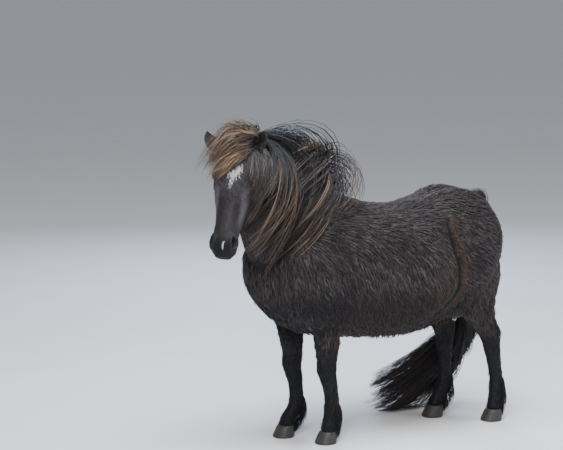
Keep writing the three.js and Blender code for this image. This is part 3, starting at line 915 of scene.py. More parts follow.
def mesh_of(name, points, triangles, values, uv=None):
    """One smooth mesh from arrays of points and triangles, with a value of each kind at every point."""
    mesh = bpy.data.meshes.new(name)
    mesh.vertices.add(len(points))
    mesh.vertices.foreach_set("co", np.ascontiguousarray(points, np.float32).ravel())
    flat = np.ascontiguousarray(triangles, np.int32).ravel()
    mesh.loops.add(len(flat))
    mesh.loops.foreach_set("vertex_index", flat)
    mesh.polygons.add(len(triangles))
    mesh.polygons.foreach_set("loop_start", np.arange(0, len(flat), 3, dtype=np.int32))
    mesh.polygons.foreach_set("use_smooth", np.ones(len(triangles), bool))
    mesh.update(calc_edges=True)
    for key, value in values.items():
        set_value(mesh, key, value)
    if uv is not None:
        layer = mesh.uv_layers.new(name="OFBake")
        layer.data.foreach_set("uv", np.ascontiguousarray(uv[flat], np.float32).ravel())
    piece = bpy.data.objects.new(name, mesh)
    bpy.context.scene.collection.objects.link(piece)
    return piece


# Where the coat changes colour, and where shade and light are painted on it


def line_mask(points, path, width, soft):
    away, share, _ = near_path(points, path)
    reach = track(np.array(width)[:, None])(share)[:, 0]
    return 1 - smooth(away, reach, reach + soft)


STAR = np.array([[130, 44, 6], [150, 34, 8], [172, 22, 9], [196, 6, 6], [226, -3, 3], [256, -4, 1]]) * MM
STAR_WIDTH = [0.002, 0.009, 0.0115, 0.007, 0.003, 0.001]
STAR_LOBE = np.array([[170, 16, 8], [186, -8, 6], [200, -27, 4]]) * MM
SNIP = np.array([[552, 12, -11], [562, 7, -13], [576, 5, -20], [590, 7, -30]]) * MM
LIP_LINE = np.array([[560, 60, -116], [585, 54, -108], [604, 40, -106], [612, 18, -100]]) * MM
# Half widths, down the flank's fold, of the brown band behind it and of the painted shade in its crease
FOLD_BAND = np.array([1, 3, 6, 8, 7, 8, 5, 1]) * MM
FOLD_CREASE_SHADE = np.array([1, 3, 6, 7, 7, 7, 5, 1]) * MM


def marks(points):
    """The markings and colour of the coat at points of the design's frame, with painted shade in the flank's
    crease, on the low barrel and behind the elbow, and painted light on the lit cheek and on the bulge in
    front of the flank.
    """
    x, y, z = points.T
    q = to_head(points)
    on_head = smooth(q[:, 0], 0.02, 0.1) * smooth(q[:, 2], -0.36, -0.3) * smooth(x, 0.8, 0.86)
    face = on_head * smooth(q[:, 2], -0.16, -0.1)
    ragged = 0.006 * np.sin(q[:, 0] * 310 + 3 * np.sin(q[:, 1] * 260)) + 0.003 * np.sin(q[:, 1] * 520)
    torn = q + ragged[:, None] * [0.4, 1, 0]
    star = line_mask(torn, STAR, STAR_WIDTH, 0.006) + line_mask(torn, STAR_LOBE, [0.01, 0.007, 0.002], 0.005)
    star = np.minimum(star, 1) * (q[:, 2] > -0.05)
    snip = line_mask(q, SNIP, [0.001, 0.0028, 0.0028, 0.001], 0.002)
    lip = line_mask(q, LIP_LINE, [0.001, 0.003, 0.003, 0.001], 0.003) * 0.6
    muzzle = smooth(q[:, 0], 0.5, 0.55) * on_head
    drift = 0.007 * np.sin(z * 47 + 1.2 * np.sin(z * 131)) + 0.003 * np.sin(z * 260 + y * 190)
    side_on = (points + drift[:, None] * X) * [1, 0, 1]
    flank_side = smooth(np.abs(y), 0.1, 0.16)
    ridge, hollow = side_on + [0.014, 0, 0], side_on - [0.01, 0, 0]
    fold = flank_side * line_mask(ridge, FOLD_SIDE_ON, FOLD_BAND, 0.034)
    # Painted shade: the coat is darkened along the crease in front of the fold
    crease_shade = flank_side * line_mask(hollow, FOLD_SIDE_ON, FOLD_CREASE_SHADE, 0.02)
    # The low barrel and belly: brown hair, and darkened there as painted shade
    belly = smooth(-z, -0.92, -0.7) * smooth(x, -0.42, -0.3) * smooth(-x, -0.42, -0.2)
    # Behind the elbow: darkened as painted shade
    elbow = np.exp(-(((x - 0.31) / 0.07) ** 2) - ((z - 0.8) / 0.17) ** 2)
    nose = smooth(q[:, 0], 0.24, 0.36) * face * smooth(-np.abs(q[:, 1]), -0.075, -0.045)
    rim = np.exp(-(((nostril_reach(to_left(q)) - 1.35) / 0.22) ** 2))
    brow = smooth(-q[:, 0], -0.36, -0.2)
    jowl = smooth(np.abs(q[:, 1]), 0.05, 0.075) * smooth(q[:, 0], 0.2, 0.28) * smooth(-q[:, 0], -0.5, -0.42)
    # In front of the flank's fold: some brown hair, and smoky grey as a painted sheen on the bulge of the
    # barrel
    flank = np.exp(-(((x + 0.29) / 0.1) ** 2) - ((z - 0.86) / 0.2) ** 2) * flank_side
    is_leg = smooth(-z, -0.62, -0.44)
    jaw = jowl * on_head
    # Smoky grey on the brow is the face's own tone; on the cheek and jaw it is painted light on their lit
    # side
    upper_face = face * (0.95 * brow + 0.8 * jowl) * (1 - muzzle)
    found = {
        "white": star + snip * 0.75 + lip + 0.1 * jaw * (1 - muzzle),
        "brown": (0.42 * fold + 0.4 * belly + 0.15 * flank) * (1 - crease_shade) + 0.2 * jaw,
        # Smoky grey of the brow and nostril rims, and painted light on the lit cheek and on the bulge in
        # front of the flank
        "smoky_and_light": upper_face + 0.4 * rim * on_head + 0.2 * flank,
        # Dark legs, muzzle and nose, and painted shade in the crease, on the low barrel and behind the elbow
        "dark": np.max(
            [is_leg, 0.95 * crease_shade, muzzle * (1 - 0.6 * rim), 0.7 * belly, 0.5 * elbow, 0.5 * nose], 0
        ),
    }
    return {key: np.clip(value, 0, 1) for key, value in found.items()}


# Skin

# The grain of the fused skin, which keeps it under 200,000 triangles
SKIN_VOXEL = 0.0102


def spaced(t):
    """Rings of the head, closer together towards the muzzle."""
    return t + 0.1 * np.sin(np.pi * t)


def body_part(name):
    """The form of one part of the body, with rounded ends."""
    if name == "trunk":
        return closed_over(trunk_point, 0.03, 0.03)
    if name == "neck":
        return closed_over(neck_point, 0.01, 0.01, 0.02)
    if name == "head":
        return closed_over(lambda t, a, lift=0.0: head_point(spaced(t), a, lift), 0.014, 0.016, 0.06)
    if name.startswith("ear"):
        return closed_over(ear_point(1 if name == "ear_left" else -1), 0.001, 0.001, 0.02)
    return closed_over(leg_point(name), 0.01, 0.002, 0.01)


def build_skin():
    """One fused skin: trunk, neck and legs grown together, the head with its features, and the ears."""

    def flesh(name, segments, rings):
        form, depth = body_part(name), coat_depth(name)
        return laid_ball(name, segments, rings, lambda t, a: form(t, a, -depth))

    def core(t, turn, lift=0.0):
        return from_head(head_local(t * 0.5, turn, -0.007, fine=False))

    parts = [
        flesh("trunk", 96, 110),
        flesh("neck", 64, 60),
        laid_ball("head_core", 48, 50, closed_over(core, 0.01, 0.01, 0.02)),
    ]
    parts += [flesh(leg, 40, 90) for leg in LEGS]
    body = joined(parts, "skin")
    applied(body, "REMESH", mode="VOXEL", voxel_size=SKIN_VOXEL, adaptivity=0.0)
    applied(body, "SMOOTH", factor=0.5, iterations=7)
    head = flesh("head", 128, 200)
    ears = [flesh(ear, 40, 44) for ear in EARS]
    lids = [lid(side, upper) for side in (1, -1) for upper in (True, False)]
    body = joined([body, head, *ears, *lids], "skin")
    deselect()
    body.select_set(True)
    bpy.ops.object.shade_smooth()
    points = points_of(body.data) - SHIFT
    for key, value in marks(points).items():
        set_value(body.data, key, value)
    q = to_head(points)
    bare = smooth(q[:, 0], 0.02, 0.12) * smooth(q[:, 2], -0.3, -0.2) * smooth(points[:, 0], 0.8, 0.86)
    set_value(body.data, "share", mix(0.1, 0.5, bare))
    set_value(body.data, "tint", np.full(len(points), 0.45))
    return body


def lid(side, upper):
    """An upper or lower eyelid: a soft rim bowed over the eyeball."""
    height = 0.015 if upper else -0.013
    thick = 0.0062 if upper else 0.005

    def point(t, turn):
        bow = np.pi * t
        centre = np.stack(
            [
                EYE_PLACE[0] - np.cos(bow) * 0.028,
                side * (EYE_PLACE[1] + 0.0145 + 0.0065 * np.sin(bow)),
                EYE_PLACE[2] + np.sin(bow) * height,
            ],
            1,
        )
        size = thick * (0.35 + 0.65 * np.sin(bow) ** 0.7)
        flat = np.cos(turn)[:, None] * np.array([0.0, 0.25 * side, 1.0 if upper else -1.0])
        deep = np.sin(turn)[:, None] * np.array([0.0, side, -0.25])
        return from_head(centre + size[:, None] * (flat * 1.25 + deep * 0.8))

    return laid_ball(f"lid_{side}_{upper}", 14, 36, point)


def started_low(face):
    """The same face from its lowest corner: where a new ball's faces start changes from run to run."""
    first = face.index(min(face))
    return face[first:] + face[:first]


class Surface:
    """The finished skin, asked for its nearest point and smooth normal."""

    def __init__(self, *pieces):
        faces, points = [], []
        for piece in pieces:
            mesh, before = piece.data, sum(len(p) for p in points)
            points.append(points_of(mesh))
            faces += [started_low([v + before for v in p.vertices]) for p in mesh.polygons]
        points, faces = np.concatenate(points), sorted(faces)
        self.tree = BVHTree.FromPolygons(points.tolist(), faces)
        corners = np.array([face if len(face) == 4 else [*face, face[2]] for face in faces])
        a, b, c, d = (points[corners[:, k]] for k in range(4))
        sums = np.zeros_like(points)
        np.add.at(sums, corners.ravel(), np.repeat(np.cross(c - a, d - b), 4, axis=0))
        self.corner, self.normals = corners[:, :3], unit(sums)

    def nearest(self, points):
        """For each point: the nearest place on the skin, its normal, and how far out the point is."""
        found = [self.tree.find_nearest(Vector(p)) for p in (points + SHIFT)]
        place = np.array([f[0] for f in found])
        normal = unit(self.normals[self.corner[[f[2] for f in found]]].mean(1))
        return place - SHIFT, normal, dot(points + SHIFT - place, normal)


SURFACES = {}


def surface_of(*names):
    if names not in SURFACES:
        SURFACES[names] = Surface(*(bpy.data.objects[name] for name in names))
    return SURFACES[names]


# Coat


# The steps of an even two-way sequence, from the root of x^3 = x + 1
EVEN_STEPS = (0.7548776662466927, 0.5698402909980532)


def spread_roots(point, count, seed):
    """Even roots over a form, as t and turn."""
    random = np.random.default_rng(seed)
    rows, columns = 150, 120
    grid = np.linspace(0, 1, rows + 1), np.linspace(0, 2 * np.pi, columns + 1)
    t, turn = np.meshgrid(*grid, indexing="ij")
    p = point(t.ravel(), turn.ravel()).reshape(rows + 1, columns + 1, 3)
    area = np.linalg.norm(np.cross(p[1:, :-1] - p[:-1, :-1], p[:-1, 1:] - p[:-1, :-1]), axis=2)
    down = np.concatenate([[0], np.cumsum(area.sum(1))]) / area.sum()
    around = np.concatenate([np.zeros((rows, 1)), np.cumsum(area, 1)], 1)
    around /= np.maximum(area.sum(1, keepdims=True), 1e-12)
    k = np.arange(count)
    a, b = ((0.5 + k * step) % 1 for step in EVEN_STEPS)
    a, b = (np.clip(v + random.normal(0, 0.25 / math.sqrt(count), count), 0, 0.99999) for v in (a, b))
    i = np.clip(np.searchsorted(down, a, side="right") - 1, 0, rows - 1)
    j = np.clip((around[i] < b[:, None]).sum(1) - 1, 0, columns - 1)
    ft = (a - down[i]) / np.maximum(down[i + 1] - down[i], 1e-12)
    fa = (b - around[i, j]) / np.maximum(around[i, j + 1] - around[i, j], 1e-12)
    return (i + ft) / rows, 2 * np.pi * (j + fa) / columns


# Where each part's roots lie on the unwrapped skin: left, bottom, width, height
UNWRAP = {
    "trunk": (0.01, 0.01, 0.6, 0.58),
    "neck": (0.01, 0.61, 0.34, 0.38),
    "head": (0.36, 0.61, 0.3, 0.38),
    "fore_left": (0.63, 0.01, 0.17, 0.28),
    "fore_right": (0.82, 0.01, 0.17, 0.28),
    "hind_left": (0.63, 0.3, 0.17, 0.29),
    "hind_right": (0.82, 0.3, 0.17, 0.29),
    "ear_left": (0.68, 0.61, 0.1, 0.18),
    "ear_right": (0.8, 0.61, 0.1, 0.18),
    "mane": (0.68, 0.81, 0.3, 0.08),
    "tail": (0.68, 0.91, 0.3, 0.08),
}


def unwrap(part, t, turn):
    left, bottom, width, height = UNWRAP[part]
    return np.stack([left + width * turn / (2 * np.pi), bottom + height * t], 1)


def lie(points, normals):
    """The way the coat lies: back and down over the body, down the legs and the face."""
    x, y, z = points.T
    q = to_head(points)
    back = mix(np.array([-0.35, 0, -1.0]), np.array([-1.0, 0, -0.3]), smooth(z, 0.95, 1.3)[:, None])
    back = mix(back, np.array([-0.9, 0, -0.5]), (smooth(-x, 0.36, 0.46) * smooth(z, 0.75, 0.9))[:, None])
    back = mix(back, np.array([-0.12, 0, -1.0]), (smooth(x, 0.45, 0.62) * smooth(-z, -1.35, -1.2))[:, None])
    back = mix(back, np.array([-0.45, 0, -1.0]), (smooth(z, 1.28, 1.4) * smooth(x, 0.3, 0.45))[:, None])
    leg = smooth(-z, -0.72, -0.58) * (np.abs(y) > 0.02)
    back = mix(back, np.array([-0.1, 0, -1.0]), leg[:, None])
    on_head = smooth(q[:, 0], -0.02, 0.08) * smooth(q[:, 2], -0.3, -0.24) * smooth(x, 0.82, 0.86)
    downward = HEAD_AXES @ np.array([1.0, 0, -0.12])
    back = mix(back, downward, on_head[:, None])
    return square(back, normals)


def wander(points, scale, seed):
    """A smooth random value between -1 and 1 that drifts from place to place."""
    random = np.random.default_rng(seed)
    total = np.zeros(len(points))
    for _ in range(5):
        way = random.normal(size=3)
        total += np.sin(points @ way / scale + random.uniform(0, 6.28))
    return total / 2.6


def tufts(name, part, count, length, width, stand, seed, reach=0.014):
    """Covers a part with flat, tapered, overlapping tufts that follow the lie of the coat."""
    random = np.random.default_rng(seed)
    depth = coat_depth(part)
    form = body_part(part)
    t, turn = spread_roots(lambda t, a: form(t, a, -depth), count, seed)
    roots = form(t, turn, -depth)
    place, normal, out = surface_of("skin").nearest(roots)
    keep = (out > -reach) & (out < 3 * reach) & (np.linalg.norm(place - roots, axis=1) < 4 * reach)
    t, turn, place, normal = t[keep], turn[keep], place[keep], normal[keep]
    n = len(place)
    way = lie(place, normal)
    across = np.cross(normal, way)
    swirl = 0.16 * wander(place, 0.07, seed + 1) + random.normal(0, 0.09, n)
    way = unit(way * np.cos(swirl)[:, None] + across * np.sin(swirl)[:, None])
    across = np.cross(normal, way)
    clump = wander(place, 0.012, seed + 2)
    long = length(place) * (1 + 0.16 * clump + random.normal(0, 0.1, n))
    wide = width(place) * random.uniform(0.75, 1.25, n)
    high = stand(place) * np.maximum(1 + 0.7 * clump, 0.1) * random.uniform(0.5, 1.4, n)
    curl = 0.12 * wander(place, 0.03, 903) + random.normal(0, 0.07, n)
    shade = marks(place)
    tint = np.clip(streaked(place) + random.normal(0, 0.16, n), 0, 1)
    if part in EARS:
        inner = smooth(np.sin(turn), 0.0, 0.3) * smooth(t, 0.1, 0.25)
        shade["brown"] = 0.3 * inner
        # Painted shade deep in the middle of the ear's cup
        shade["dark"] = 0.6 * inner * smooth(-np.abs(np.cos(turn)), -0.8, -0.5)
        shade["smoky_and_light"] = 0.7 * smooth(np.abs(np.cos(turn)), 0.85, 0.97)
        long, high = long * (1 + 0.7 * inner), high * (1 + 1.5 * inner)
    uv = unwrap(part, t, turn)
    return tuft_mesh(name, place, normal, way, across, long, wide, high, curl, uv, shade, tint)


def streaked(points):
    """How pale each tuft is: in long streaks that follow the coat, paler above than below, where the darker
    low barrel is painted shade.
    """
    low = smooth(-points[:, 2], -0.95, -0.75)
    back, down = unit(np.array([-0.8, 0, -0.6])), unit(np.array([-0.12, 0, -1.0]))
    streaks = [points - 0.82 * way * (points @ way)[:, None] for way in (back, down)]
    fine = mix(wander(streaks[0], 0.0048, 5), wander(streaks[1], 0.0055, 7), low)
    broad = wander(points, 0.07, 6)
    under = low * smooth(points[:, 2], 0.5, 0.6) * smooth(points[:, 0], -0.5, -0.38)
    # The low barrel is darkened as painted shade
    return 0.57 + mix(0.13, 0.34, under) * fine + 0.06 * broad - 0.3 * under


# How far each corner of a tuft is from its root, and where it lies on the tuft's patch of the unwrap
BAKE_PATCH = 0.003
TUFT_SHARE = [0.08, 0.08, 0.12, 0.5, 0.5, 0.6, 1.0]
TUFT_PATCH = BAKE_PATCH * np.array(
    [[0, 0], [1, 0], [0.5, 0.3], [0, 0.6], [1, 0.6], [0.5, 0.7], [0.5, 1]]
)


def three_sided(rings):
    """Faces of a closed, three-sided spike: rings of three points, then its tip."""
    faces = []
    for k in range(rings - 1):
        a, b = 3 * k, 3 * k + 3
        for i, j in ((0, 1), (1, 2), (2, 0)):
            faces += [[a + i, a + j, b + j], [a + i, b + j, b + i]]
    a, tip = 3 * (rings - 1), 3 * rings
    faces += [[a, a + 1, tip], [a + 1, a + 2, tip], [a + 2, a, tip], [0, 2, 1]]
    return np.array(faces)


def tuft_mesh(name, root, normal, way, across, long, wide, high, curl, uv, shade, tint):
    """Three-sided tufts, each one closed: two rings and a tip."""
    n = len(root)
    sink = 0.0025
    rings = []
    for s, size in ((0.0, 0.85), (0.5, 1.0)):
        arched = high * long * (s - 0.62 * s * s) * 1.6 - sink * (s == 0)
        middle = root + way * (long * s)[:, None] + normal * arched[:, None]
        middle += across * (curl * long * s * s)[:, None]
        half = 0.5 * wide * size
        rings += [
            middle + across * half[:, None],
            middle - across * half[:, None],
            middle + normal * (0.32 * wide * size)[:, None],
        ]
    reach = long * np.sqrt(np.maximum(1 - curl**2, 0.2))
    tip = root + way * reach[:, None] + across * (curl * long)[:, None]
    tip += normal * (high * long * 0.38 * 1.2 + 0.0006)[:, None]
    points = np.stack([*rings, tip], 1).reshape(-1, 3)
    pattern = three_sided(2)
    per = len(TUFT_SHARE)
    triangles = (np.arange(n)[:, None, None] * per + pattern).reshape(-1, 3)
    values = {key: np.repeat(value, per) for key, value in shade.items()}
    values["share"] = np.tile(TUFT_SHARE, n)
    values["tint"] = np.repeat(tint, per)
    maps = (uv[:, None, :] + TUFT_PATCH[None]).reshape(-1, 2)
    piece = mesh_of(name, points + SHIFT, triangles, values, maps)
    return dressed(piece, "coat")


def body_width(p):
    return 0.0052 + 0.0012 * smooth(-p[:, 2], -0.85, -0.65)


def body_stand(p):
    x, _, z = p.T
    low = smooth(-z, -0.8, -0.6)
    return mix(0.09, 0.17, low) + 0.05 * smooth(z, 1.2, 1.35) * smooth(-x, 0.0, 0.3)


def leg_length(p):
    return mix(0.022, 0.046, smooth(p[:, 2], 0.38, 0.65))


def leg_width(p):
    return mix(0.0032, 0.0052, smooth(p[:, 2], 0.38, 0.65))


def leg_stand(p):
    return mix(0.13, 0.16, smooth(p[:, 2], 0.38, 0.65))


def face_length(p):
    """Short on nose and lips, longer on the brow, and long under the jaw."""
    q = to_head(p)
    long = mix(0.024, 0.011, smooth(q[:, 0], 0.2, 0.4))
    long = mix(long, 0.006, smooth(q[:, 0], 0.46, 0.54))
    return mix(long, 0.036, smooth(-q[:, 2], 0.14, 0.24))


def face_width(p):
    return mix(0.0022, 0.0034, smooth(-to_head(p)[:, 0], -0.42, -0.2))


def body_length(p):
    """How long the coat is at each place of the body."""
    x, _, z = p.T
    long = sizes().coat_length
    value = np.full(len(p), long)
    value = mix(value, long * 1.3, smooth(-z, -0.85, -0.62))
    value = mix(value, long * 1.2, smooth(x, 0.55, 0.7) * smooth(-z, -1.2, -1.0))
    value = mix(value, long * 0.8, smooth(z, 1.2, 1.34))
    away, _, _ = near_path(p * [1, 0, 1], FOLD_SIDE_ON)
    return value * (1 - 0.7 * np.exp(-((away / 0.055) ** 2)))


# Long hair


def eased(paths, times=3):
    """Takes the kinks out of paths, and leaves their roots where they are."""
    for _ in range(times):
        inner = 0.25 * paths[:, :-2] + 0.5 * paths[:, 1:-1] + 0.25 * paths[:, 2:]
        paths = np.concatenate([paths[:, :1], inner, paths[:, -1:]], 1)
    return paths


def blown(roots, ways, lengths, winds, yields, lifts, steps=12, clear_of=("skin",)):
    """Paths of strands that leave their roots along ways, give in to the wind, and stay off the skin."""
    surface = surface_of(*clear_of)
    paths, heading = [roots], unit(ways)
    for k in range(1, steps + 1):
        given = 1 - (1 - np.minimum(yields * (0.3 + k / steps), 0.95)) ** (6 / steps)
        heading = unit(mix(heading, winds, given[:, None]))
        following = paths[-1] + heading * (lengths / steps)[:, None]
        place, normal, out = surface.nearest(following)
        near = np.linalg.norm(following - place, axis=1) < 0.2
        short = np.where(near & (out < lifts), lifts - out, 0.0)
        if k < 2:
            short *= 0.3
        following = following + normal * short[:, None]
        paths.append(following)
    return eased(np.stack(paths, 1))


def gathered(paths, guides, which, pull):
    """Draws each strand towards the guide of its lock, more and more down to the tip."""
    return mix(paths, guides[which], pull * smooth(along_strands(paths), 0.0, 0.9) ** 0.8)


def strands(name, paths, widths, out, bleach, tint, uv, finish="hair"):
    """Flat, tapered strands of long hair along paths, three-sided, each one closed."""
    n, steps, _ = paths.shape
    tangent = unit(np.gradient(paths, axis=1))
    rings = []
    for k in range(steps - 1):
        s = k / (steps - 1)
        out = square(out, tangent[:, k])
        across = np.cross(out, tangent[:, k])
        size = (0.55 + 0.45 * smooth(s, 0, 0.25)) * (1 - 0.8 * smooth(s, 0.55, 1.05))
        half = 0.5 * widths * size
        rings += [
            paths[:, k] + across * half[:, None],
            paths[:, k] - across * half[:, None],
            paths[:, k] + out * (0.8 * half)[:, None],
        ]
    points = np.stack([*rings, paths[:, -1]], 1).reshape(-1, 3)
    per = 3 * (steps - 1) + 1
    triangles = (np.arange(n)[:, None, None] * per + three_sided(steps - 1)).reshape(-1, 3)
    share = np.append(np.repeat(np.arange(steps - 1) / (steps - 1), 3), 1.0)
    values = {
        "share": np.tile(share, n),
        "tint": np.repeat(tint, per),
        "bleach": np.repeat(bleach, per),
    }
    patch = np.stack([np.resize([0, 1, 0.5], per), share], 1) * BAKE_PATCH
    maps = (uv[:, None, :] + patch[None]).reshape(-1, 2)
    if finish == "coat":
        for key, value in marks(paths[:, 0]).items():
            values[key] = np.repeat(value, per)
    piece = mesh_of(name, points + SHIFT, triangles, values, maps)
    return dressed(piece, finish)


def along_strands(paths):
    """From 0 at the roots of paths to 1 at their tips."""
    return np.linspace(0, 1, paths.shape[1])[None, :, None]


def waved(paths, random, turns, size):
    """Gives each strand slow waves that grow towards its tip."""
    n, share = len(paths), along_strands(paths)
    waves = np.sin(share * random.uniform(*turns, (n, 1, 1)) + random.uniform(0, 6.28, (n, 1, 1)))
    return paths + waves * random.normal(0, size, (n, 1, 3)) * share


# The bound hair along the crest, from the withers to the poll: how far it stands up, half width
MANE_CREST = track([[4, 26], [22, 46], [52, 60], [66, 64], [78, 64], [84, 58], [72, 40]], MM)
# Locks in each layer of the mane, and strands in each lock
MANE_LAYERS = ((52, 26), (58, 26), (60, 26))
# How far the bound hair lies under the mane's form, and its strands' roots under that
CREST_DEPTH, MANE_ROOT_DEPTH = 0.032, 0.034


def mane_form(t):
    form = neck_form(mix(0.09, 1, t))
    stand, half = MANE_CREST(t).T
    top = egg(form, np.full(len(t), np.pi / 2), 0.2 * stand)
    form.centre = top + form.left * (0.2 * stand)[:, None]
    form.half, form.rise, form.drop, form.power = half, 0.8 * stand, 0.2 * stand + 0.06, 2.2
    return form


def mane_paths(t, rise, length, lift, turned):
    """Hair that leaves the crest backwards and to the left, and swings forward with the wind."""
    form = mane_form(t)
    roots = egg(form, mix(0.1, 1.15, rise), -MANE_ROOT_DEPTH)
    forward = smooth(t, 0, 0.4)
    high = np.minimum(rise, 1)
    back = mix(0.55, 0.1, forward) + turned
    back -= high * smooth(t, 0.2, 0.5) * (1 - 0.5 * smooth(t, 0.7, 1))
    over = smooth(rise, 1.2, 2.4)
    left = mix(1, 0.55, high) * mix(0.3, 1.0, forward)
    fall = mix(-0.4, -0.05, high) + 0.6 * over
    way = form.left * left[:, None] + form.up * fall[:, None] + form.along * back[:, None]
    poll = smooth(t, 0.8, 1.0)
    forth = mix(0.76, 0.9, t) - 0.3 * poll
    wind = unit(np.stack([forth, np.full(len(t), -0.16), mix(-0.64, -0.5, t) - 0.35 * poll], 1))
    paths = blown(roots, way, length, wind, mix(0.42, 0.6, forward), lift, clear_of=("skin", "mane_core"))
    return paths, form


def build_mane():
    """The bound hair of the crest, and locks that fall from it over the left side."""
    random = np.random.default_rng(11)
    crest = closed_over(lambda t, a, lift=0.0: egg(mane_form(t), a, -CREST_DEPTH), 0.02, 0.02, 0.06)
    core = laid_ball("mane_core", 32, 40, crest)
    # The bound hair is given the darkest coat colour, as painted shade deep under the locks
    set_value(core.data, "dark", np.ones(len(core.data.vertices)))
    pieces = [dressed(core, "coat")]
    for layer, (locks, each) in enumerate(MANE_LAYERS):
        lock_t = (np.arange(locks) + random.uniform(0.1, 0.9, locks)) / locks
        lock_rise = (layer + random.uniform(0, 1, locks)) / len(MANE_LAYERS) * 2.5
        lock_long = sizes().mane_length * random.uniform(0.68, 1.12, locks)
        lock_long *= mix(0.5, 1.0, smooth(lock_t, 0, 0.4))
        lock_long *= mix(1, 1.15, np.minimum(lock_rise, 1)) * (1 + 0.16 * smooth(lock_t, 0.3, 0.6))
        lock_lift = 0.004 + 0.024 * np.minimum(lock_rise, 1) * random.uniform(0.5, 1.2, locks)
        lock_turn = random.normal(0, 0.12, locks)
        guides, _ = mane_paths(lock_t, lock_rise, lock_long, lock_lift, lock_turn)
        which = np.repeat(np.arange(locks), each)
        n = len(which)
        t = np.clip(lock_t[which] + random.normal(0, 0.022, n), 0.0, 1)
        rise = np.clip(lock_rise[which] + random.normal(0, 0.1, n), 0, 2.7)
        long = lock_long[which] * random.uniform(0.6, 1.12, n)
        lift = lock_lift[which] + random.uniform(-0.004, 0.008, n)
        turned = lock_turn[which] + random.normal(0, 0.1, n)
        paths, form = mane_paths(t, rise, long, np.maximum(lift, 0.003), turned)
        paths = gathered(paths, guides, which, 0.58)
        paths += random.normal(0, 0.007, (n, 1, 3)) * smooth(along_strands(paths), 0.1, 0.8)
        paths = waved(paths, random, (4, 10), 0.004)
        bleach = 0.22 * random.beta(0.6, 2.5, locks)[which] + 0.95 * random.beta(0.34, 1.8, n)
        # Higher layers are lighter: painted shade on the lower layers beneath them
        tint = 0.35 * random.uniform(0, 1, locks)[which] + random.uniform(-0.3, 0.45, n) + 0.1 * layer
        bleach, tint = np.clip(bleach, 0, 1), np.clip(tint, 0, 1)
        uv = unwrap("mane", random.uniform(0, 1, n), 2 * np.pi * t * 0.98)
        width = sizes().hair_width * random.uniform(0.6, 1.25, n)
        pieces.append(strands(f"mane_{layer}", paths, width, form.up, bleach, tint, uv))
    return pieces


# Hair of the head, in the head's frame: its lowest line, its highest, and how far it fans sideways

FORELOCK = (
    track([[44, 44, -40], [82, 46, 6], [120, 26, 16], [152, -8, 14], [186, -56, 8], [218, -102, -20]], MM),
    track([[2, 44, -62], [-54, 58, 8], [-76, 14, 62], [-34, -62, 66], [66, -118, 30], [190, -168, -14]], MM),
    np.array([0.03, -0.045, -0.006]),
)
TEMPLE_HAIR = (
    track([[6, 40, -44], [46, 62, 2], [100, 80, -8], [158, 86, -14], [216, 84, -20], [276, 70, -14]], MM),
    track(
        [[-24, 40, -104], [-6, 98, -122], [66, 140, -110], [150, 144, -88], [236, 126, -66], [318, 100, -40]],
        MM,
    ),
    np.array([0.01, 0.022, -0.01]),
)


def head_paths(guide, share, rise, length, steps=13):
    """Hair from between the ears, which the wind lays over the head."""
    lowest, highest, fan = guide
    paths = []
    for k in range(steps):
        s = k / (steps - 1)
        p = mix(lowest(s * length), highest(s * length), rise[:, None])
        p = from_head(p + share[:, None] * fan * mix(1.0, 0.45, s))
        _, normal, out = surface_of("skin").nearest(p)
        lift = 0.003 + 0.012 * rise
        short = np.where(out < lift, lift - out, 0.0) * (k > 1)
        paths.append(p + normal * short[:, None])
    return eased(np.stack(paths, 1), 2)


def head_hair(name, guide, locks, each, rises, pale, seed):
    """Locks of the head's hair; rises says from where to where between lowest and highest they lie."""
    random = np.random.default_rng(seed)
    lock_share = random.uniform(-0.85, 1.2, locks)
    lock_rise = random.uniform(*rises, locks)
    lock_long = random.uniform(0.66, 1.0, locks)
    guides = head_paths(guide, lock_share, lock_rise, lock_long)
    which = np.repeat(np.arange(locks), each)
    n = len(which)
    share = lock_share[which] + random.normal(0, 0.24, n)
    rise = np.clip(lock_rise[which] + random.normal(0, 0.12, n), 0, max(1.12, rises[1]))
    paths = head_paths(guide, share, rise, np.clip(lock_long[which] * random.uniform(0.75, 1.1, n), 0, 1))
    paths = gathered(paths, guides, which, 0.3)
    loose = random.normal(0, 0.013, (n, 1, 3)) + random.normal(0, 0.014, (locks, 1, 3))[which]
    paths += loose * smooth(along_strands(paths), 0.15, 1.0) ** 1.5
    paths = waved(paths, random, (4, 9), 0.004)
    bleach = pale * (random.beta(1.0, 1.4, locks)[which] + 1.1 * random.beta(0.8, 1.4, n))
    tint = 0.4 * random.uniform(0, 1, locks)[which] + random.uniform(-0.25, 0.55, n)
    bleach, tint = np.clip(bleach, 0, 1), np.clip(tint, 0, 1)
    uv = unwrap("mane", np.clip(0.5 + 0.4 * share, 0, 1), 2 * np.pi * random.uniform(0, 1, n) * 0.98)
    width = sizes().hair_width * random.uniform(0.45, 0.95, n)
    outs = np.repeat((HEAD_AXES @ np.array([-0.4, 0, 0.9]))[None], n, 0)
    return strands(name, paths, width, outs, bleach, tint, uv)


def build_forelock():
    return [
        head_hair("forelock", FORELOCK, 50, 27, (0, 1), 0.62, 23),
        head_hair("temple_hair", TEMPLE_HAIR, 18, 24, (0, 0.34), 0.26, 24),
        head_hair("cheek_hair", TEMPLE_HAIR, 26, 26, (0.62, 1), 0.26, 25),
        head_hair("poll_hair", TEMPLE_HAIR, 26, 28, (0.95, 1.45), 0.26, 26),
    ]


# The tail: the middle line of its hair

TAIL_LINE = track(
    [
        [-688, 0, 1232],
        [-760, -8, 1185],
        [-776, -40, 1040],
        [-768, -92, 860],
        [-766, -160, 670],
        [-718, -232, 490],
        [-580, -288, 345],
        [-405, -318, 235],
        [-215, -330, 160],
        [-130, -330, 150],
    ],
    MM,
)


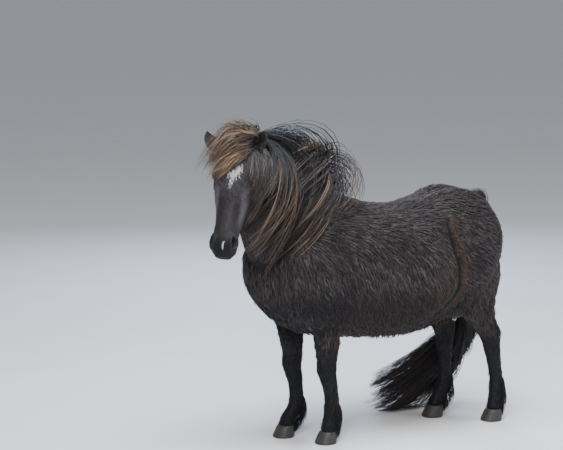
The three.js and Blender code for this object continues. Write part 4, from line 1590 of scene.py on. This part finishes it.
def tail_frame(t):
    along = unit(TAIL_LINE(np.minimum(t + 0.01, 1)) - TAIL_LINE(np.maximum(t - 0.01, 0)))
    up = square(np.array([-0.6, 0.1, 1.0]) * np.ones_like(along), along)
    return TAIL_LINE(t), along, np.cross(up, along), up


def tail_paths(turn, first, last, spread, drop, steps=15):
    """Hair round the middle of the tail; drop is how far each strand's end hangs away from it."""
    paths = []
    for k in range(steps):
        s = k / (steps - 1)
        centre, _, left, up = tail_frame(mix(first, last, s))
        open_ = mix(0.012, spread, smooth(s, 0.1, 0.85))
        around = left * (np.cos(turn) * open_ * 0.75)[:, None] + up * (np.sin(turn) * open_)[:, None]
        paths.append(centre + around + drop * s**1.5)
    return np.stack(paths, 1)


# Sets of the tail's hair: locks, strands in each, where they leave the middle of the tail and
# where they end, how far out they lie, how far the lowest hangs below, and the least it hangs
TAIL_SETS = [
    (36, 22, (0.0, 0.22), (0.42, 0.95), 0.085, (-0.05, 0, -0.05), 0.0),
    (50, 26, (0.08, 0.42), (0.86, 1.0), 0.11, (-0.11, 0.01, -0.17), 0.0),
    (12, 14, (0.2, 0.45), (0.66, 0.76), 0.06, (0.05, -0.03, -0.42), 0.55),
]


def build_tail():
    """The tail in its sets of hair, blown forward under the belly."""
    random = np.random.default_rng(37)
    pieces = []
    for layer, (locks, each, starts, ends, spread, fall, least) in enumerate(TAIL_SETS):
        turn = random.uniform(0, 2 * np.pi, locks)
        first, last = random.uniform(*starts, locks), random.uniform(*ends, locks)
        wide = spread * random.uniform(0.4, 1.15, locks)
        drop = np.array(fall) * random.uniform(least, 1, locks)[:, None]
        guides = tail_paths(turn, first, last, wide, drop)
        which = np.repeat(np.arange(locks), each)
        n = len(which)
        paths = tail_paths(
            turn[which] + random.normal(0, 0.35, n),
            np.clip(first[which] + random.normal(0, 0.03, n), 0, 1),
            np.clip(last[which] + random.normal(0, 0.035, n), 0, 1),
            wide[which] * random.uniform(0.7, 1.25, n),
            drop[which] * random.uniform(0.8, 1.15, n)[:, None],
        )
        paths = gathered(paths, guides, which, 0.5)
        paths = waved(paths, random, (5, 9), 0.006)
        paths[:, :, 2] = np.maximum(paths[:, :, 2], 0.012)
        _, _, left, up = tail_frame(0.5 * (first + last)[which])
        outs = left * np.cos(turn[which])[:, None] + up * np.sin(turn[which])[:, None]
        bleach = 0.7 * random.beta(0.5, 4, n)
        tint = random.uniform(0.1, 0.95, n)
        uv = unwrap("tail", random.uniform(0, 1, n), 2 * np.pi * ((turn[which] / (2 * np.pi)) % 1) * 0.98)
        width = sizes().hair_width * random.uniform(0.6, 1.15, n)
        pieces.append(strands(f"tail_{layer}", paths, width, outs, bleach, tint, uv))
    return pieces


def build_dock_tuft():
    """A small tuft that stands up at the head of the tail."""
    random = np.random.default_rng(61)
    n = 700
    around = random.normal(0, 0.014, (n, 3)) * [1.2, 1, 0.3]
    roots = np.array([-0.684, 0.012, 1.225]) + around
    way = np.array([0.05, 0.05, 1.0]) + random.normal(0, 0.13, (n, 3))
    wind = np.repeat(unit(np.array([0.5, 0.0, 0.86]))[None], n, 0)
    long = random.uniform(0.06, 0.125, n)
    paths = blown(roots, way, long, wind, np.full(n, 0.15), np.full(n, -0.03), steps=6)
    width = sizes().hair_width * random.uniform(0.7, 1.1, n)
    outs = np.repeat(-X[None], n, 0)
    uv = unwrap("tail", random.uniform(0, 1, n), random.uniform(0, 6.1, n))
    bleach, tint = random.uniform(0, 0.3, n), random.uniform(0, 0.6, n)
    return strands("dock_tuft", paths, width, outs, bleach, tint, uv)


def build_feather():
    """Longer hair behind each fetlock, which falls over the hoof."""
    pieces = []
    for index, leg in enumerate(LEGS):
        random = np.random.default_rng(50 + index)
        n = 420
        t = random.uniform(0.7, 0.97, n)
        turn = -np.pi / 2 + random.normal(0, 0.85, n)
        roots = leg_point(leg)(t, turn, -COAT_DEPTH["leg"])
        form = leg_form(leg, t)
        out = unit((roots - form.centre) * [1, 1, 0])
        long = random.uniform(0.035, 0.085, n) * smooth(-np.sin(turn), -0.4, 0.9) + 0.022
        long = np.minimum(long, np.maximum(roots[:, 2] - 0.02, 0.015))
        wind = np.repeat(unit(np.array([0.12, -0.05, -1.0]))[None], n, 0)
        lifts = random.uniform(0.002, 0.008, n)
        paths = blown(roots, out * 0.8 - Z * 0.6, long, wind, np.full(n, 0.6), lifts, steps=5)
        paths[:, :, 2] = np.maximum(paths[:, :, 2], 0.006)
        uv = unwrap(leg, t, turn % (2 * np.pi))
        width, tint = random.uniform(0.0025, 0.0045, n), random.uniform(0, 1, n)
        feather = strands(f"feather_{leg}", paths, width, out, np.zeros(n), tint, uv, "coat")
        pieces.append(feather)
    return pieces


# Operators


class Piece:
    bl_options = {"REGISTER", "UNDO"}


class HORSE_OT_skin(Piece, bpy.types.Operator):
    """Build the skin: trunk, neck, head, ears and legs in one."""

    bl_idname = "horse.skin"
    bl_label = "Skin"

    def execute(self, context):
        skin = build_skin()
        flesh = ["torso", "neck", "head", "ear_left", "ear_right"]
        flesh += [f"{part}_leg_{leg}" for part in ("upper", "lower") for leg in LEGS]
        dressed(skin, "coat", flesh)
        return {"FINISHED"}


class HORSE_OT_eyes(Piece, bpy.types.Operator):
    """Build both eyeballs."""

    bl_idname = "horse.eyes"
    bl_label = "Eyes"

    def execute(self, context):
        for side, node in ((1, "eye_left"), (-1, "eye_right")):
            centre = EYE_PLACE * [1, side, 1]
            gaze = unit(np.array([0.12, side * 0.93, 0.3]))
            level = unit(np.cross(gaze, [0, 0, 1.0]))
            upright = np.cross(level, gaze)

            def point(t, turn):
                polar = np.pi * np.clip(t, 0.0, 1.0)
                across = np.cos(turn)[:, None] * level + np.sin(turn)[:, None] * upright
                way = np.sin(polar)[:, None] * across - np.cos(polar)[:, None] * gaze
                bulge = 0.0012 * smooth(way @ gaze, 0.72, 0.95)
                return from_head(centre + way * (EYE_RADIUS - 0.0012 + bulge)[:, None])

            ball = laid_ball(f"eyeball_{node}", 72, 60, point)
            way = unit(to_head(points_of(ball.data) - SHIFT) - centre)
            across, high = way @ level, way @ upright
            front = way @ gaze
            set_value(ball.data, "iris", np.where(front > 0, np.hypot(across, high) / 0.62, 2.0))
            set_value(ball.data, "pupil", np.where(front > 0, np.hypot(across / 0.34, high / 0.17), 3.0))
            dressed(ball, "eye", [node])
        return {"FINISHED"}


# The hoof's wall: height, shift forward, reach forward, reach back, half width
HOOF_WALL = track(
    [
        [0, 16, 64, 52, 62],
        [6, 16, 65, 53, 63],
        [20, 13, 62, 53, 60.5],
        [36, 9, 58, 52, 57],
        [50, 5, 55, 51, 54.5],
        [66, 0, 50, 47, 50],
    ],
    MM,
)


class HORSE_OT_hooves(Piece, bpy.types.Operator):
    """Build the four hooves with their growth rings, sole and frog."""

    bl_idname = "horse.hooves"
    bl_label = "Hooves"

    def execute(self, context):
        for leg in LEGS:
            centre = leg_form(leg, np.array([1.0])).centre[0]

            def point(t, turn, lift=0.0, centre=centre):
                height, shift, rise, drop, half = HOOF_WALL(t).T
                ones = np.ones_like(t)[:, None]
                ring = 0.0006 * np.sin(height * 620 + 0.6 * np.sin(turn)) * smooth(t, 0.05, 0.2)
                form = SimpleNamespace(
                    centre=np.stack([centre[0] + shift, centre[1] + 0 * t, height], 1),
                    left=Y * ones,
                    up=X * ones,
                    half=half + ring - 0.0006,
                    rise=rise + ring - 0.0006,
                    drop=drop + ring - 0.0006,
                    power=2.2,
                )
                return egg(form, turn)

            hoof = laid_ball(f"hoof_horn_{leg}", 72, 46, closed_over(point, 0.0, 0.004, 0.12))
            p = points_of(hoof.data) - SHIFT
            inner = np.hypot((p[:, 0] - centre[0] - 0.016) / 0.058, (p[:, 1] - centre[1]) / 0.056)
            under = p[:, 2] < 0.0005
            frog = np.abs(p[:, 1] - centre[1]) < 0.2 * (centre[0] + 0.03 - p[:, 0])
            arch = 0.007 * (1 - smooth(inner, 0.62, 0.86)) - 0.004 * frog * (inner < 0.8)
            p[:, 2] += np.where(under, arch, 0)
            set_points(hoof.data, p + SHIFT)
            dressed(hoof, "horn", [f"hoof_{leg}"])
        return {"FINISHED"}


class HORSE_OT_coat(Piece, bpy.types.Operator):
    """Lay the winter coat over the whole skin."""

    bl_idname = "horse.coat"
    bl_label = "Coat"

    def execute(self, context):
        share = 1.0
        trunk_tufts, neck_tufts, head_tufts, leg_tufts, ear_tufts = (
            int(count * share) for count in (sizes().coat_tufts, 11500, 15000, 6500, 2400)
        )
        body = (body_length, body_width, body_stand)
        face = (face_length, face_width, steady(0.13))
        leg_coat = (leg_length, leg_width, leg_stand)
        ear_coat = (steady(0.013), steady(0.0024), steady(0.2))
        for k in range(3):
            tufts(f"coat_trunk_{k}", "trunk", trunk_tufts // 3, *body, 100 + 10 * k)
        tufts("coat_neck", "neck", neck_tufts, *body, 201)
        tufts("coat_head", "head", head_tufts, *face, 301, 0.005)
        for index, leg in enumerate(LEGS):
            tufts(f"coat_{leg}", leg, leg_tufts, *leg_coat, 401 + 10 * index, 0.012)
        for index, ear in enumerate(EARS):
            tufts(f"coat_{ear}", ear, ear_tufts, *ear_coat, 501 + 10 * index, 0.004)
        return {"FINISHED"}


class HORSE_OT_mane(Piece, bpy.types.Operator):
    """Build the mane and the forelock."""

    bl_idname = "horse.mane"
    bl_label = "Mane and forelock"

    def execute(self, context):
        build_mane()
        build_forelock()
        return {"FINISHED"}


class HORSE_OT_tail(Piece, bpy.types.Operator):
    """Build the tail."""

    bl_idname = "horse.tail"
    bl_label = "Tail"

    def execute(self, context):
        first = build_tail()[0]
        build_dock_tuft()
        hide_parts("tail_upper", "tail_lower")
        return {"FINISHED"}


class HORSE_OT_feather(Piece, bpy.types.Operator):
    """Build the longer hair behind the fetlocks."""

    bl_idname = "horse.feather"
    bl_label = "Feather"

    def execute(self, context):
        build_feather()
        return {"FINISHED"}


# The camera stands where the photograph's viewer stood: picture size and focal length in pixels

PICTURE = (563, 450)
FOCAL = 2140
AIM = (374, 300)
AZIMUTH, ELEVATION, DISTANCE = math.radians(151), math.radians(11), 12.0
SENSOR = 36

# Each lamp: its place, size, power and colour
LAMPS = (
    ("sky_lamp", (0.6, 1.2, 6.0), 4.0, 720, (0.86, 0.92, 1.0)),
    ("key_lamp", (3.5, 5.0, 4.8), 2.4, 330, (1.0, 0.97, 0.93)),
    ("back_lamp", (-4.5, 2.5, 4.0), 2.5, 150, (1.0, 0.97, 0.94)),
    ("rim_lamp", (-2.4, -5.6, 3.6), 3.0, 260, (0.62, 0.76, 1.0)),
)


class HORSE_OT_stage(Piece, bpy.types.Operator):
    """Set up the floor, the backdrop, the lights and the camera."""

    bl_idname = "horse.stage"
    bl_label = "Stage"

    def execute(self, context):
        deselect()
        bpy.ops.mesh.primitive_plane_add(size=240, location=(0, 0, 0))
        floor = bpy.context.object
        floor.name = "studio_floor"
        floor.data.materials.append(finish_of("floor"))
        world = bpy.data.worlds.new("studio")
        context.scene.world = world
        world.use_nodes = True
        background = world.node_tree.nodes["Background"]
        background.inputs["Color"].default_value = (0.78, 0.83, 0.92, 1)
        background.inputs["Strength"].default_value = 0.56
        for name, place, size, power, colour in LAMPS:
            data = bpy.data.lights.new(name, "AREA")
            data.shape, data.size, data.energy, data.color = "DISK", size, power, colour
            lamp = bpy.data.objects.new(name, data)
            context.scene.collection.objects.link(lamp)
            lamp.location = place
            lamp.rotation_euler = (Vector((0, 0, 0.8)) - Vector(place)).to_track_quat("-Z", "Y").to_euler()
        data = bpy.data.cameras.new("camera")
        camera = bpy.data.objects.new("camera", data)
        context.scene.collection.objects.link(camera)
        context.scene.camera = camera
        level = math.cos(ELEVATION)
        back = Vector((math.sin(AZIMUTH) * level, -math.cos(AZIMUTH) * level, math.sin(ELEVATION)))
        camera.location = Vector((SHIFT[0], SHIFT[1], 0.75)) + back * DISTANCE
        camera.rotation_euler = (-back).to_track_quat("-Z", "Y").to_euler()
        data.sensor_width = SENSOR
        data.lens = FOCAL / PICTURE[0] * SENSOR
        data.shift_x = -(AIM[0] - PICTURE[0] / 2) / PICTURE[0]
        data.shift_y = (AIM[1] - PICTURE[1] / 2) / PICTURE[0]
        data.clip_start, data.clip_end = 0.1, 400
        return {"FINISHED"}


class HORSE_PT_panel(bpy.types.Panel):
    """Lists the horse's sizes, colours and pieces."""

    bl_idname = "HORSE_PT_panel"
    bl_label = "Icelandic Horse"
    bl_space_type = "VIEW_3D"
    bl_region_type = "UI"
    bl_category = "Horse"

    def draw(self, context):
        layout = self.layout
        for group in (context.scene.horse_sizes, context.scene.horse_colours):
            box = layout.box()
            for key in group.bl_rna.properties.keys():
                if key not in ("rna_type", "name"):
                    box.prop(group, key)
        for operator in OPERATORS:
            layout.operator(operator.bl_idname)


OPERATORS = (
    HORSE_OT_stage,
    HORSE_OT_skin,
    HORSE_OT_eyes,
    HORSE_OT_hooves,
    HORSE_OT_coat,
    HORSE_OT_mane,
    HORSE_OT_tail,
    HORSE_OT_feather,
)
CLASSES = (HorseSizes, HorseColours, *OPERATORS, HORSE_PT_panel)


def register():
    for kind in CLASSES:
        bpy.utils.register_class(kind)
    bpy.types.Scene.horse_sizes = bpy.props.PointerProperty(type=HorseSizes)
    bpy.types.Scene.horse_colours = bpy.props.PointerProperty(type=HorseColours)


def unregister():
    del bpy.types.Scene.horse_sizes
    del bpy.types.Scene.horse_colours
    for kind in reversed(CLASSES):
        bpy.utils.unregister_class(kind)


def main():
    register()
    bpy.ops.horse.stage()
    bpy.ops.horse.skin()
    bpy.ops.horse.eyes()
    bpy.ops.horse.hooves()
    bpy.ops.horse.coat()
    bpy.ops.horse.mane()
    bpy.ops.horse.tail()
    bpy.ops.horse.feather()


if __name__ == "__main__":
    main()
